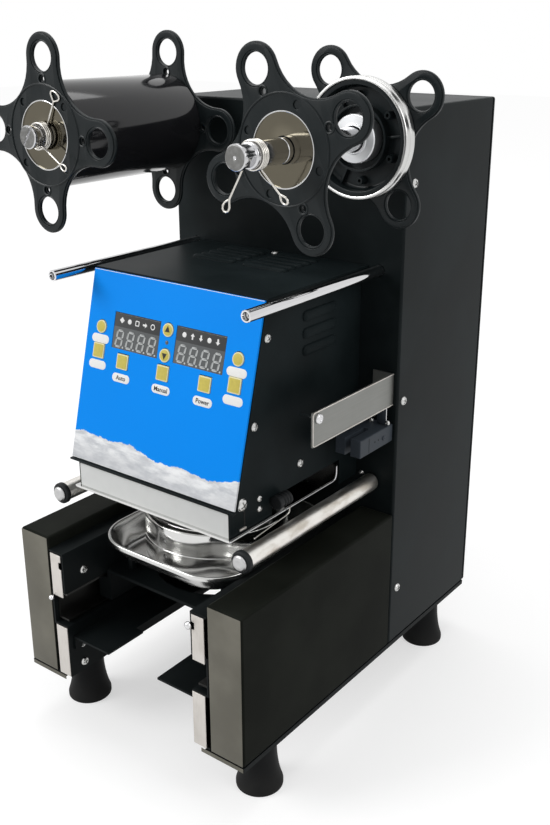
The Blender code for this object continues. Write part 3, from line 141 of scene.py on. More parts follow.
# %% Finish: one material and its nodes
class Finish:
    """A material with a Principled shader; node() adds any other node to it."""

    def __init__(self, name, colour, roughness, metallic=0.0, coat=0.0, specular=None):
        self.material = bpy.data.materials.new(name)
        self.material.use_nodes = True
        self.tree = self.material.node_tree
        self.shader = self.tree.nodes["Principled BSDF"]
        self.material.diffuse_color = (*colour, 1)
        self.give(Base_Color=(*colour, 1), Roughness=roughness, Metallic=metallic, Coat_Weight=coat)
        if specular is not None:
            self.shader.inputs["Specular IOR Level"].default_value = specular
        if coat:
            self.shader.inputs["Coat Roughness"].default_value = 0.08

    def plug(self, socket, value):
        if isinstance(value, Flow):
            self.tree.links.new(value.socket, socket)
        else:
            socket.default_value = value

    def give(self, **values):
        """Set or link the shader's own sockets; _ in a name stands for a space."""
        for name, value in values.items():
            self.plug(self.shader.inputs[name.replace("_", " ")], value)

    def node(self, kind, settings=None, values=None, out=0):
        """Any node: its type, then settings, then inputs by name or number."""
        node = self.tree.nodes.new(kind)
        for name, value in (settings or {}).items():
            if name == "stops":
                ramp = node.color_ramp.elements
                while len(ramp) < len(value):
                    ramp.new(0.5)
                for stop, (place, colour) in zip(ramp, value):
                    stop.position, stop.color = place, (*colour, 1)
            else:
                setattr(node, name, value)
        for name, value in (values or {}).items():
            self.plug(node.inputs[name], value)
        return Flow(self, node.outputs[out])

    def place(self):
        """The point on the surface, in metres in the machine's frame."""
        return self.node("ShaderNodeTexCoord", out="Object")

    def parts(self, vector):
        """The x, y and z of a point."""
        split = self.node("ShaderNodeSeparateXYZ", {}, {"Vector": vector})
        return [Flow(self, output) for output in split.socket.node.outputs]

    def stretched(self, vector, scale):
        return self.node("ShaderNodeVectorMath", {"operation": "MULTIPLY"}, {0: vector, 1: scale})

    def noise(self, vector, scale, detail=3.0, rough=0.5):
        return self.node("ShaderNodeTexNoise", {}, {"Vector": vector, "Scale": scale,
                                                    "Detail": detail, "Roughness": rough})

    def blend(self, share, first, second):
        """Mix two colours; share 0 gives the first."""
        return self.node("ShaderNodeMix", {"data_type": "RGBA"},
                         {0: share, 6: first, 7: second}, out=2)

    def bump(self, height, depth, strength):
        """Turn a height from 0 to 1 into a relief of that depth in metres."""
        self.give(Normal=self.node("ShaderNodeBump", {}, {"Strength": strength,
                                                          "Distance": depth, "Height": height}))


print("shader helpers are ready")

# %% [markdown]
# ## Light and background
#
# The machine is black, so what is seen of it is mostly what it reflects. Large soft
# lamps give its flat sheets a slow change of grey and its round parts a clean streak.
# The background is white to the camera and to mirrors, and a weaker light to the rest.

# %% Lamps
def soft_lamp(name, place, towards, power, width, height):
    aim = (Vector(towards) - Vector(place)).to_track_quat("-Z", "Y")
    bpy.ops.object.light_add(type="AREA", location=place, rotation=aim.to_euler())
    lamp = bpy.context.object
    lamp.name = name
    lamp.data.shape, lamp.data.size, lamp.data.size_y = "RECTANGLE", width, height
    lamp.data.energy = power


middle = (0, 0, 0.3)
soft_lamp("lamp_front_left", (-1.5, -1.9, 1.7), middle, 42, 1.3, 1.0)
soft_lamp("lamp_right", (1.35, 0.0, 1.15), (0, 0, 0.5), 5.5, 0.7, 0.8)
soft_lamp("lamp_top", (-0.2, 0.4, 2.4), middle, 20, 1.6, 1.2)
print("three lamps stand round the machine")

# %% World: white to the camera and to mirrors, a plain grey light to the rest
world = bpy.data.worlds.new("studio")
bpy.context.scene.world = world
world.use_nodes = True
sky = world.node_tree
background = sky.nodes["Background"]
background.inputs["Color"].default_value = (1, 1, 1, 1)
rays = sky.nodes.new("ShaderNodeLightPath")
seen = sky.nodes.new("ShaderNodeMath")
seen.operation = "ADD"
mirrored = sky.nodes.new("ShaderNodeMath")
mirrored.operation, mirrored.use_clamp = "ADD", True
level = sky.nodes.new("ShaderNodeMapRange")
level.inputs["To Min"].default_value = 0.55
level.inputs["To Max"].default_value = 1.0
sky.links.new(rays.outputs["Is Camera Ray"], seen.inputs[0])
sky.links.new(rays.outputs["Is Transmission Ray"], seen.inputs[1])
sky.links.new(seen.outputs[0], mirrored.inputs[0])
sky.links.new(rays.outputs["Is Glossy Ray"], mirrored.inputs[1])
sky.links.new(mirrored.outputs[0], level.inputs["Value"])
sky.links.new(level.outputs[0], background.inputs["Strength"])
bpy.context.scene.view_settings.view_transform = "Standard"
print("world light level:", level.inputs["To Min"].default_value)

# %% Floor: pale, with the machine's shadow on it
pale_floor = Finish("pale_floor", (0.50, 0.50, 0.50), 0.9, specular=0.0)
pale_floor.give(Emission_Color=(1, 1, 1, 1))
lit = (pale_floor.node("ShaderNodeLightPath", out="Is Camera Ray")
       + pale_floor.node("ShaderNodeLightPath", out="Is Transmission Ray")
       + pale_floor.node("ShaderNodeLightPath", out="Is Glossy Ray")).smaller(1.0)
away = pale_floor.node("ShaderNodeVectorMath", {"operation": "LENGTH"}, {0: pale_floor.place()},
                       out="Value")
pale_floor.give(Emission_Strength=lit * (away.between(0.5, 2.5) * 0.14 + 0.56))
bpy.ops.mesh.primitive_plane_add(size=16, location=(0, 0, 0))
floor = bpy.context.object
floor.name = "floor"
floor.data.materials.append(pale_floor.material)
print("floor is", round(floor.dimensions.x, 1), "m wide")

# %% [markdown]
# ## Black paint
#
# The casings are folded steel with a satin powder coat. Powder melts into a skin
# that is never quite flat: a very fine ripple breaks up reflections, and wiping
# leaves slow cloudy patches that are a little duller. Two noises of very different
# size feed the bump and the roughness, and the colour hardly changes.

# %% Powder coat
def powder_coat(name, colour, roughness, gloss=0.06):
    paint = Finish(name, colour, roughness, specular=gloss)
    at = paint.place()
    clouds = paint.noise(at, 14, 4)
    specks = paint.noise(at, 2600, 1)
    ripple = paint.noise(at, 900, 2)
    dust = paint.node("ShaderNodeTexVoronoi", {}, {"Vector": at, "Scale": 130}, out="Distance")
    dust_spots = 1 - dust.between(0.02, 0.05)
    lighter = tuple(c * 1.6 + 0.002 for c in colour)
    tone = paint.blend(clouds.between(0.35, 0.75), (*colour, 1), (*lighter, 1))
    paint.give(Base_Color=paint.blend(dust_spots * 0.12, tone, (0.16, 0.16, 0.15, 1)),
               Roughness=roughness + (clouds - 0.5) * 0.16 + (specks - 0.5) * 0.08)
    paint.bump(ripple, 0.00006, 0.35)
    return paint.material


black_paint = powder_coat("black_paint", (0.0066, 0.0092, 0.0098), 0.40)
dark_paint = powder_coat("dark_inner_paint", (0.005, 0.0066, 0.007), 0.46)
arm_paint = powder_coat("arm_paint", (0.0078, 0.0088, 0.0070), 0.42, 0.018)
head_paint = powder_coat("head_paint", (0.0062, 0.0092, 0.0100), 0.40, 0.035)
print("paint finishes:", black_paint.name, dark_paint.name, arm_paint.name, head_paint.name)

# %% [markdown]
# ## Plastics and rubber
#
# The reel flanges are moulded black plastic: nearly smooth, with the faint flow
# marks of moulding and light scuffs from loading film. The drum between them is
# polished, so it mirrors the room in soft bands. Feet are rubber, dull and dusty.

# %% Moulded plastic
def moulded(name, colour, roughness, coat=0.0, scuffed=1.0):
    plastic = Finish(name, colour, roughness, coat=coat, specular=0.16)
    at = plastic.place()
    flow = plastic.noise(plastic.stretched(at, (1, 1, 3)), 30, 3)
    scuffs = plastic.noise(plastic.stretched(at, (1, 6, 1.4)), 260, 4, 0.7)
    marks = scuffs.between(0.62, 0.72) * scuffed
    lighter = tuple(c * 2.2 + 0.006 for c in colour)
    plastic.give(Base_Color=plastic.blend(marks * 0.5 + flow * 0.25, (*colour, 1), (*lighter, 1)),
                 Roughness=roughness + flow * 0.08 + marks * 0.15)
    plastic.bump(plastic.noise(at, 1500, 2), 0.00003, 0.4)
    return plastic.material


flange_black = moulded("flange_black", (0.0075, 0.0105, 0.0115), 0.26)
drum_black = moulded("drum_black", (0.007, 0.007, 0.008), 0.10, coat=0.5, scuffed=0.3)
fitting_black = moulded("fitting_black", (0.009, 0.010, 0.011), 0.42)
sensor_grey = moulded("sensor_grey", (0.030, 0.037, 0.046), 0.42)
print("plastics:", flange_black.name, drum_black.name, fitting_black.name, sensor_grey.name)

# %% Rubber
rubber = Finish("foot_rubber", (0.009, 0.009, 0.010), 0.62, specular=0.08)
at = rubber.place()
height = rubber.parts(at)[2]
dusty = rubber.noise(at, 60, 4) * (1 - height.between(0.002, 0.03))
rubber.give(Base_Color=rubber.blend(dusty * 0.5, (0.009, 0.0095, 0.010, 1),
                                    (0.05, 0.049, 0.046, 1)),
            Roughness=0.52 + dusty * 0.3)
rubber.bump(rubber.noise(at, 1400, 2), 0.00008, 0.5)
foot_rubber = rubber.material
print("rubber:", foot_rubber.name)

# %% [markdown]
# ## Bare metal
#
# Polishing and turning leave very fine lines that all run one way, and those lines
# stretch a highlight across themselves. Noise squeezed along one axis gives such
# lines: the same noise, at different squeezes, makes a polished tray, a turned
# shaft, a brushed roller and a plain aluminium plate.

# %% Worked metal
def worked_metal(name, colour, roughness, grain, grain_scale, depth, stain=0.12, tint=None):
    metal = Finish(name, colour, roughness, metallic=1.0)
    at = metal.place()
    lines = metal.noise(metal.stretched(at, grain), grain_scale, 3, 0.6)
    clouds = metal.noise(at, 22, 4)
    dull = tint or tuple(c * 0.62 for c in colour)
    metal.give(Base_Color=metal.blend(clouds.between(0.45, 0.8) * stain + lines * 0.1,
                                      (*colour, 1), (*dull, 1)),
               Roughness=roughness + clouds * roughness * 0.6 + (lines - 0.5) * roughness * 0.8)
    metal.bump(lines, depth, 0.5)
    return metal.material


polished_steel = worked_metal("polished_steel", (0.62, 0.62, 0.61), 0.085, (1, 1, 0.05), 700,
                              0.000006)
chrome = worked_metal("chrome", (0.66, 0.66, 0.67), 0.05, (1, 0.04, 1), 500, 0.000003)
turned_steel = worked_metal("turned_steel", (0.56, 0.56, 0.56), 0.12, (1, 6, 1), 260, 0.000008)
# The dark brown colour is a painted reflection: the brown seen in the washers' mirror faces.
brown_reflection_steel = worked_metal("brown_reflection_steel", (0.135, 0.122, 0.092), 0.07, (1, 1, 4), 90, 0.000004, 0.4)
plated_steel = worked_metal("plated_steel", (0.50, 0.50, 0.50), 0.30, (1, 0.1, 1), 600, 0.00001)
aluminium = worked_metal("plain_aluminium", (0.235, 0.238, 0.225), 0.36, (1, 0.03, 1.6), 900,
                         0.00001)
edge_metal = worked_metal("worn_edge_metal", (0.60, 0.575, 0.545), 0.42, (1, 1, 0.2), 500, 0.00002,
                          0.7, (0.42, 0.39, 0.35))
spring_wire = worked_metal("spring_wire", (0.60, 0.58, 0.54), 0.18, (1, 1, 1), 700, 0.000004)
print("metals, from", polished_steel.name, "to", spring_wire.name)

# %% Brushed roller, streaked along its length
brushed = Finish("brushed_roller", (0.55, 0.54, 0.52), 0.3, metallic=1.0)
at = brushed.place()
streaks = brushed.noise(brushed.stretched(at, (1, 0.12, 1)), 620, 4, 0.7)
patches = brushed.noise(brushed.stretched(at, (1, 0.35, 1)), 120, 3)
brushed.give(Base_Color=brushed.blend(patches.between(0.4, 0.7), (0.78, 0.76, 0.72, 1),
                                      (0.52, 0.48, 0.42, 1)),
             Roughness=0.22 + streaks * 0.24)
brushed.bump(streaks, 0.00004, 0.5)
brushed_roller = brushed.material
print("roller finish:", brushed_roller.name)

# %% [markdown]
# ## The printed panel
#
# The panel is a plastic sheet printed from behind: blue, with a pale wave along its
# foot. The print is drawn by the material from the place of each point, measured
# across the panel and up its slope, so no picture is needed. Sines of different
# lengths give the wave its edge, and a stretched noise gives it soft folds.

# %% Panel print
PANEL_BLUE = (0.0, 0.285, 0.93)
overlay = Finish("panel_print", PANEL_BLUE, 0.33, specular=0.08)
at = overlay.place()
across = overlay.parts(at)[0] / MM
climb = overlay.node("ShaderNodeVectorMath", {"operation": "DOT_PRODUCT"},
                     {0: overlay.node("ShaderNodeVectorMath", {"operation": "SUBTRACT"},
                                      {0: at, 1: panel_foot}), 1: panel_up}, out="Value") / MM
swell = (across * 0.0334 + 0.25).sine() * 3.4 + (across * 0.105 + 1.0).sine() * 1.5
spray = (overlay.noise(at, 120, 5, 0.7) - 0.5) * 7
crest = 22.5 - swell + spray
in_wave = (crest - climb).between(-0.25, 0.25)
folds = overlay.noise(overlay.stretched(at, (1, 1, 3.2)), 55, 5, 0.6)
shade_low = (crest - climb).between(2, 24)
milk = overlay.blend(folds.between(0.3, 0.7), (0.86, 0.87, 0.88, 1), (0.52, 0.54, 0.57, 1))
milk = overlay.blend(shade_low * 0.55, milk, (0.48, 0.49, 0.51, 1))
patches = overlay.noise(at, 9, 3)
blue = overlay.blend(patches, (0.0, 0.24, 0.83, 1), (0.0, 0.265, 0.90, 1))
overlay.give(Base_Color=overlay.blend(in_wave, blue, milk),
             Roughness=0.30 + overlay.noise(at, 300, 3) * 0.12)
overlay.bump(overlay.noise(at, 1800, 2), 0.00002, 0.4)
panel_print = overlay.material
print("panel finish:", panel_print.name)

# %% [markdown]
# ## Small printed and glazed surfaces
#
# Keys, stickers and the display glass are small, so their finishes stay simple: a
# little mottling, a little relief, and the gloss that each has in the hand.

# %% Keys, labels and display finishes
def plain(name, colour, roughness, mottle=0.08, grain=400, depth=0.00003, coat=0.0):
    surface = Finish(name, colour, roughness, coat=coat, specular=0.3)
    at = surface.place()
    tone = surface.noise(at, grain, 3)
    darker = tuple(c * (1 - mottle * 2) for c in colour)
    surface.give(Base_Color=surface.blend(tone, (*colour, 1), (*darker, 1)),
                 Roughness=roughness + (tone - 0.5) * 0.1)
    surface.bump(tone, depth, 0.4)
    return surface.material


key_yellow = plain("key_yellow", (0.62, 0.52, 0.10), 0.45, 0.12)
key_edge = plain("key_edge", (0.80, 0.74, 0.42), 0.4)
key_ink = plain("black_ink", (0.012, 0.012, 0.013), 0.5)
caption_white = plain("caption_white", (0.83, 0.83, 0.82), 0.4, 0.03)
sticker_white = plain("sticker_white", (0.66, 0.67, 0.66), 0.35, 0.05, 90)
glass_grey = plain("display_grey", (0.085, 0.092, 0.095), 0.22, 0.1, 200, 0.00001, 0.5)
glass_dark = plain("display_dark", (0.020, 0.022, 0.023), 0.22, 0.1, 200, 0.00001, 0.5)
segment_rim = plain("segment_rim", (0.52, 0.54, 0.54), 0.4, 0.05)
segment_face = plain("segment_face", (0.20, 0.21, 0.21), 0.4, 0.05)
icon_white = plain("icon_white", (0.80, 0.80, 0.80), 0.4, 0.05)
# Black for the head slots and the sensor test holes is painted shade; for the sensor seam it is a
# dark joint.
hole_shade_and_seam_black = plain("hole_shade_and_seam_black", (0.003, 0.003, 0.003), 0.8, 0.2)
print("small finishes, from", key_yellow.name, "to", hole_shade_and_seam_black.name)

# %% [markdown]
# ## Finishes for the CAD pieces that stay
#
# Flat sheets, brackets and the parts inside are already right in the CAD, so they
# only change their material. A piece's material is swapped in its slots, and its
# mesh is left alone.

# %% Dress the CAD nodes
def dress(finish, *names):
    for name in names:
        piece = nodes[name]
        piece.data.materials.clear()
        piece.data.materials.append(finish)


dress(black_paint, "column_casing", "rear_cover")
dress(arm_paint, "arm_left", "arm_right")
dress(head_paint, "head_case", "head_cover")
dress(dark_paint, "base_frame", "rail_carrier_left", "rail_carrier_right", "base_shelf",
      "tray_carriage")
dress(panel_print, "control_panel")
dress(fitting_black, "mains_inlet", "power_rocker")
dress(sensor_grey, "film_sensor")
dress(polished_steel, "film_plate")
dress(aluminium, "film_guide_plate", "heater_plate", "press_carriage")
dress(plated_steel, "press_frame", "bearing_plate", "cutter_ring")
# The guide rails' very dark steel is painted shade: the shade inside the tray channel.
dress(worked_metal("painted_shade_rail", (0.06, 0.06, 0.058), 0.3, (1, 0.05, 1), 500, 0.00001),
      "guide_rail_left", "guide_rail_right")
dress(turned_steel, "press_motor", "press_cam", "take_up_motor", "supply_brake", "tray_motor",
      "tray_pinion")
dress(glass_dark, "display_board")
dressed = {name for name in nodes if not nodes[name].data.materials[0].name.startswith("Material")}
print("CAD nodes with a finish:", len(dressed))

# %% [markdown]
# ## Working by hand, in code
#
# Each new piece starts as a primitive and is shaped in edit mode. An operator acts on
# everything that is selected, so `take` drops every selection first, and `pick` then
# selects faces or edges by where they are or which way they look.

# %% Picking up and putting down a piece
def take(piece):
    if bpy.context.mode != "OBJECT":
        bpy.ops.object.mode_set(mode="OBJECT")
    bpy.ops.object.select_all(action="DESELECT")
    piece.select_set(True)
    bpy.context.view_layer.objects.active = piece
    return piece


def open_up(piece, kind="FACE"):
    """Into edit mode with nothing selected."""
    take(piece)
    bpy.ops.object.mode_set(mode="EDIT")
    bpy.ops.mesh.select_mode(type=kind)
    bpy.ops.mesh.select_all(action="DESELECT")


def pick(piece, kind, test):
    """Select the faces, edges or verts that pass a test."""
    shape = bmesh.from_edit_mesh(piece.data)
    for item in getattr(shape, kind):
        item.select_set(test(item))
    shape.select_flush_mode()
    bmesh.update_edit_mesh(piece.data)


def settle(piece, place=None, smooth=35):
    """Put the piece's place in its mesh, move it by place, and smooth it up to an angle."""
    take(piece)
    bpy.ops.object.transform_apply(location=True, rotation=True, scale=True)
    if place is not None:
        piece.data.transform(place)
    bpy.ops.object.shade_smooth_by_angle(angle=math.radians(smooth))
    return piece


def complete(piece, finish, body, replaced=(), quiet=False):
    """Give a finished piece its material and its body, and hide the CAD parts it replaces."""
    take(piece)
    if finish is not None:
        piece.data.materials.clear()
        piece.data.materials.append(finish)
    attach(piece, body)
    if replaced:
        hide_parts(*replaced)
    if not quiet:
        print(piece.name, "has", len(piece.data.polygons), "faces")
    return piece


def copy_of(piece, name, place=None):
    """A copy with its own mesh, moved by place."""
    take(piece)
    bpy.ops.object.duplicate(linked=False)
    other = bpy.context.object
    other.name = name
    if place is not None:
        other.data.transform(place)
    return other


def join(name, *pieces):
    """Several meshes as one piece."""
    take(pieces[0])
    for other in pieces[1:]:
        other.select_set(True)
    bpy.ops.object.join()
    whole = bpy.context.object
    whole.name = name
    return whole


def aimed(point, out, spin=0.0):
    """A place whose +Z looks along out, turned by spin degrees round it."""
    turn = Vector(out).normalized().to_track_quat("Z", "Y").to_matrix().to_4x4()
    return Matrix.Translation(Vector(point)) @ turn @ Matrix.Rotation(math.radians(spin), 4, "Z")


def forwards(x, y, z):
    """A place whose +Z looks forwards, out of the machine's front."""
    return Matrix.Translation((x, y, z)) @ Matrix.Rotation(math.pi / 2, 4, "X")


def backwards(x, y, z):
    """A place whose +Z looks back into the machine."""
    return Matrix.Translation((x, y, z)) @ Matrix.Rotation(-math.pi / 2, 4, "X")


def cut_away(piece, tool):
    """Take the tool's shape out of a piece with an exact Boolean, and drop the tool."""
    take(piece)
    cut = piece.modifiers.new("cut", "BOOLEAN")
    cut.operation, cut.solver, cut.object = "DIFFERENCE", "EXACT", tool
    bpy.ops.object.modifier_apply(modifier="cut")
    bpy.data.objects.remove(tool)


def thicken(piece, thickness):
    """Give a bare surface the thickness of its sheet, inwards."""
    take(piece)
    sheet = piece.modifiers.new("sheet", "SOLIDIFY")
    sheet.thickness, sheet.offset = thickness, -1
    bpy.ops.object.modifier_apply(modifier="sheet")


print("tools are ready")

# %% [markdown]
# ## Three ways to start a shape
#
# Most of this machine is one of three things. A folded or cut block starts as a cube
# whose edges are bevelled. A turned part starts as one point, which is extruded along
# a profile and spun. A flat plate with holes starts as a flat curve, which gets a
# thickness and a rounded edge before it becomes a mesh.

# %% Block, turned part and plate
def block(name, low, high, edge=0.0):
    """A cube between two corners with rounded edges."""
    low, high = Vector(low), Vector(high)
    bpy.ops.object.select_all(action="DESELECT")
    bpy.ops.mesh.primitive_cube_add(size=1, location=(low + high) / 2)
    piece = bpy.context.object
    piece.name = name
    piece.scale = high - low
    bpy.ops.object.transform_apply(location=True, rotation=True, scale=True)
    if edge:
        open_up(piece, "EDGE")
        bpy.ops.mesh.select_all(action="SELECT")
        bpy.ops.mesh.bevel(offset=edge, segments=2, affect="EDGES", profile=0.5)
        bpy.ops.object.mode_set(mode="OBJECT")
    return piece


def eased(profile, radius, steps=3):
    """A profile with its corners rounded; points on the axis stay."""
    points = [Vector((a, b)) for a, b in profile]
    result = []
    for i, point in enumerate(points):
        if i == 0 or i == len(points) - 1 or point.x < 1e-6:
            result.append(tuple(point))
            continue
        before, after = points[i - 1] - point, points[i + 1] - point
        cut = min(radius, before.length * 0.45, after.length * 0.45)
        start, end = point + before.normalized() * cut, point + after.normalized() * cut
        for step in range(steps + 1):
            t = step / steps
            mixed = start * (1 - t) ** 2 + point * 2 * t * (1 - t) + end * t ** 2
            result.append((mixed.x, mixed.y))
    return result


def turned(name, profile, steps=64, round_by=0.0, place=None, smooth=35):
    """(radius, height) points in mm: a point is extruded along them, then spun round Z."""
    line = [(a * MM, b * MM) for a, b in profile]
    if round_by:
        line = eased(line, round_by * MM)
    bpy.ops.object.select_all(action="DESELECT")
    bpy.ops.mesh.primitive_plane_add(size=0.001, location=(0, 0, 0))
    piece = bpy.context.object
    piece.name = name
    bpy.ops.object.mode_set(mode="EDIT")
    bpy.ops.mesh.select_mode(type="VERT")
    bpy.ops.mesh.select_all(action="SELECT")
    bpy.ops.mesh.merge(type="CENTER")
    bpy.ops.transform.translate(value=(line[0][0], 0, line[0][1]))
    for (r0, h0), (r1, h1) in zip(line, line[1:]):
        bpy.ops.mesh.extrude_region_move(
            TRANSFORM_OT_translate={"value": (r1 - r0, 0, h1 - h0)})
    bpy.ops.mesh.select_all(action="SELECT")
    bpy.ops.mesh.spin(steps=steps, angle=2 * math.pi, center=(0, 0, 0), axis=(0, 0, 1))
    bpy.ops.mesh.select_all(action="SELECT")
    bpy.ops.mesh.remove_doubles(threshold=0.000002)
    bpy.ops.mesh.normals_make_consistent(inside=False)
    bpy.ops.object.mode_set(mode="OBJECT")
    return settle(piece, place, smooth)


def ring_points(x, y, radius, steps=24):
    return [(x + radius * math.cos(2 * math.pi * i / steps),
             y + radius * math.sin(2 * math.pi * i / steps)) for i in range(steps)]


def meshed(name, curve, merge):
    """A curve as a mesh piece, its double points merged and its faces turned outwards."""
    drawn = bpy.data.objects.new(name, curve)
    bpy.context.scene.collection.objects.link(drawn)
    take(drawn)
    bpy.ops.object.convert(target="MESH")
    piece = bpy.context.object
    open_up(piece, "VERT")
    bpy.ops.mesh.select_all(action="SELECT")
    bpy.ops.mesh.remove_doubles(threshold=merge)
    bpy.ops.mesh.normals_make_consistent(inside=False)
    bpy.ops.object.mode_set(mode="OBJECT")
    return piece


def plate(name, outlines, low, high, edge, place=None):
    """Closed outlines in mm, the outer one first and its holes after, between two heights."""
    curve = bpy.data.curves.new(name, "CURVE")
    curve.dimensions, curve.fill_mode = "2D", "BOTH"
    curve.extrude = (high - low) / 2 * MM - edge * MM
    curve.bevel_depth, curve.bevel_resolution, curve.offset = edge * MM, 2, -edge * MM
    for outline in outlines:
        line = curve.splines.new("POLY")
        line.points.add(len(outline) - 1)
        for point, (x, y) in zip(line.points, outline):
            point.co = (x * MM, y * MM, 0, 1)
        line.use_cyclic_u = True
    lift = Matrix.Translation((0, 0, (low + high) / 2 * MM))
    return settle(meshed(name, curve, 0.000002), (place or Matrix.Identity(4)) @ lift)


def wire(name, points, radius, place=None):
    """A round wire through points in mm."""
    curve = bpy.data.curves.new(name, "CURVE")
    curve.dimensions, curve.bevel_depth, curve.bevel_resolution = "3D", radius * MM, 2
    curve.use_fill_caps = True
    line = curve.splines.new("POLY")
    line.points.add(len(points) - 1)
    for point, (x, y, z) in zip(line.points, points):
        point.co = (x * MM, y * MM, z * MM, 1)
    return settle(meshed(name, curve, 0.000001), place, 60)


print("shapes: block, turned, plate, wire")

# %% [markdown]
# ## Reel flanges
#
# Each reel is held between two four-armed flanges. An arm ends in a round finger hole,
# and its sides run into the next arm in one smooth hollow. Two circles touching give
# that line exactly: the round end of the arm, and a larger circle that sits in the
# corner between two arms. Two plates of different outline, one on the other, give the
# stepped edge and the countersunk holes that a moulded flange has.

# %% Flange outline
ARM_REACH, ARM_ROUND, WAIST, FINGER_HOLE = 62.0, 19.0, 43.0, 11.5   # mm
corner_reach = (ARM_REACH ** 2 - (WAIST - ARM_ROUND) ** 2) / (
    2 * (ARM_REACH * math.cos(math.pi / 4) - (WAIST - ARM_ROUND)))
hollow_radius = corner_reach - WAIST
touch = math.degrees(math.atan2(corner_reach * math.sin(math.pi / 4),
                                corner_reach * math.cos(math.pi / 4) - ARM_REACH))


def bow(cx, cy, radius, start, end, steps):
    angles = [math.radians(start + (end - start) * i / steps) for i in range(steps + 1)]
    return [(cx + radius * math.cos(a), cy + radius * math.sin(a)) for a in angles]


def star(inset=0.0):
    """The outline, set in by a distance."""
    points = []
    for arm in range(4):
        aim = 90 * arm
        cx, cy = ARM_REACH * math.cos(math.radians(aim)), ARM_REACH * math.sin(math.radians(aim))
        points += bow(cx, cy, ARM_ROUND - inset, aim - touch, aim + touch, 22)
        corner = math.radians(aim + 45)
        hx, hy = corner_reach * math.cos(corner), corner_reach * math.sin(corner)
        points += bow(hx, hy, hollow_radius + inset, aim + touch + 180, aim + 270 - touch, 12)[1:-1]
    return points


print("hollow radius, mm:", round(hollow_radius, 1))
print("arm end turns through", round(2 * touch), "degrees")

# %% One flange, face up
def around(radius, count, start=0.0):
    return [(radius * math.cos(math.radians(start + 360 * i / count)),
             radius * math.sin(math.radians(start + 360 * i / count))) for i in range(count)]


SCREW_REACH = 44.8   # mm, to the countersunk screws in the arms
RIDGE = [(40.0, 3.4), (40.2, 4.1), (40.9, 4.5), (41.7, 4.1), (41.9, 3.4), (40.0, 3.4)]
SCREW_LIP = [(3.2, 3.4), (3.3, 4.0), (3.9, 4.25), (4.7, 4.0), (4.9, 3.4), (3.2, 3.4)]
FINGER_LIP = [(FINGER_HOLE + r, h) for r, h in
              ((0.2, 2.0), (0.2, 3.2), (0.9, 3.4), (1.5, 3.1), (1.7, 2.0), (0.2, 2.0))]


def flange(name, front=True):
    """Face towards +Z, its back on height 0, 4 mm thick."""
    fingers = [ring_points(x, y, FINGER_HOLE, 40) for x, y in around(ARM_REACH, 4)]
    small = [ring_points(x, y, 2.1, 14) for x, y in around(SCREW_REACH, 4)]
    wide = [ring_points(x, y, 3.2, 20) for x, y in around(SCREW_REACH, 4)]
    shaft = [ring_points(0, 0, 10.0, 32)]
    lower = plate(name, [star()] + fingers + small + shaft, 0, 2.6, 0.5)
    grips = [ring_points(x, y, FINGER_HOLE + 1.6, 40) for x, y in around(ARM_REACH, 4)]
    screws = [ring_points(x, y, 3.3, 20) for x, y in around(35.0, 4, 45)]
    centre = [ring_points(0, 0, 27.8, 64)] if front else shaft
    upper = plate(name + "_face", [star(1.3)] + grips + wide + screws + centre, 2.6, 3.7, 0.35)
    ridge = turned(name + "_ridge", RIDGE, 72)
    lips = [turned(name + "_lip", profile, steps, place=Matrix.Translation((x * MM, y * MM, 0)))
            for profile, steps, reach in ((SCREW_LIP, 24, SCREW_REACH), (FINGER_LIP, 40, ARM_REACH))
            for x, y in around(reach, 4)]
    return join(name, lower, upper, ridge, *lips)


front_pattern = flange("flange_pattern")
rear_pattern = flange("flange_pattern_rear", front=False)
print("flange pattern:", len(front_pattern.data.polygons), "faces")

# %% The four flanges
def hang_flange(pattern, name, node, aim, body, back_y):
    """A flange that looks forwards, one of its arms aimed at an angle in degrees from +X."""
    x = reel_x if "supply" in name else -reel_x
    turn = Matrix.Rotation(math.radians(aim), 4, "Z")
    piece = copy_of(pattern, name, forwards(x, back_y, reel_z) @ turn)
    return complete(piece, flange_black, body, [node])


rear_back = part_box("take_up_rear_flange")[1].y
hang_flange(rear_pattern, "take_up_flange_rear", "take_up_rear_flange", 86.6, "take_up_reel",
            rear_back)
take_up_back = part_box("take_up_front_flange")[0].y + 4 * MM
hang_flange(front_pattern, "take_up_flange_front", "take_up_front_flange", 87.7, "take_up_reel",
            take_up_back)
loose_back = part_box("supply_front_flange")[0].y + 4 * MM
hang_flange(front_pattern, "supply_flange_front", "supply_front_flange", 114.3, "loose_flange",
            loose_back)
hang_flange(rear_pattern, "supply_flange_rear", "supply_rear_flange", 33.8, "supply_reel",
            rear_back)
for pattern in (front_pattern, rear_pattern):
    bpy.data.objects.remove(pattern)
print("rear flanges back at y, mm:", round(rear_back / MM, 1))

# %% [markdown]
# ## Hubs, drum and core ring
#
# A bright steel washer sits in the face of each front flange; its dark brown colour is a
# painted reflection of the brown that its mirror face shows. The film winds onto a
# polished drum on the left. On the right, the card core of a film roll is pushed onto
# an aluminium band round a hollow moulded cup with ribs and screw posts in it.

# %% Washers in the front flanges
def reel_place(x, y):
    """+Z of the shape looks forwards, along the reel's axis."""
    return forwards(x, y, reel_z)


FRONT_FACES = (("take_up", reel_place(-reel_x, take_up_back), "take_up_reel"),
               ("supply", reel_place(reel_x, loose_back), "loose_flange"))
washer_profile = [(10.4, 2.62), (27.4, 2.62), (27.4, 3.0), (10.9, 3.0), (10.4, 2.9), (10.4, 2.62)]
rim_profile = [(27.4, 2.4), (27.4, 4.0), (27.8, 4.3), (28.3, 4.0), (28.3, 3.0), (27.4, 2.4)]
for word, place, body in FRONT_FACES:
    complete(turned(f"{word}_washer", washer_profile, 72, place=place), brown_reflection_steel, body)
    rim = turned(f"{word}_washer_rim", rim_profile, 72, place=place)
    complete(rim, turned_steel, body)

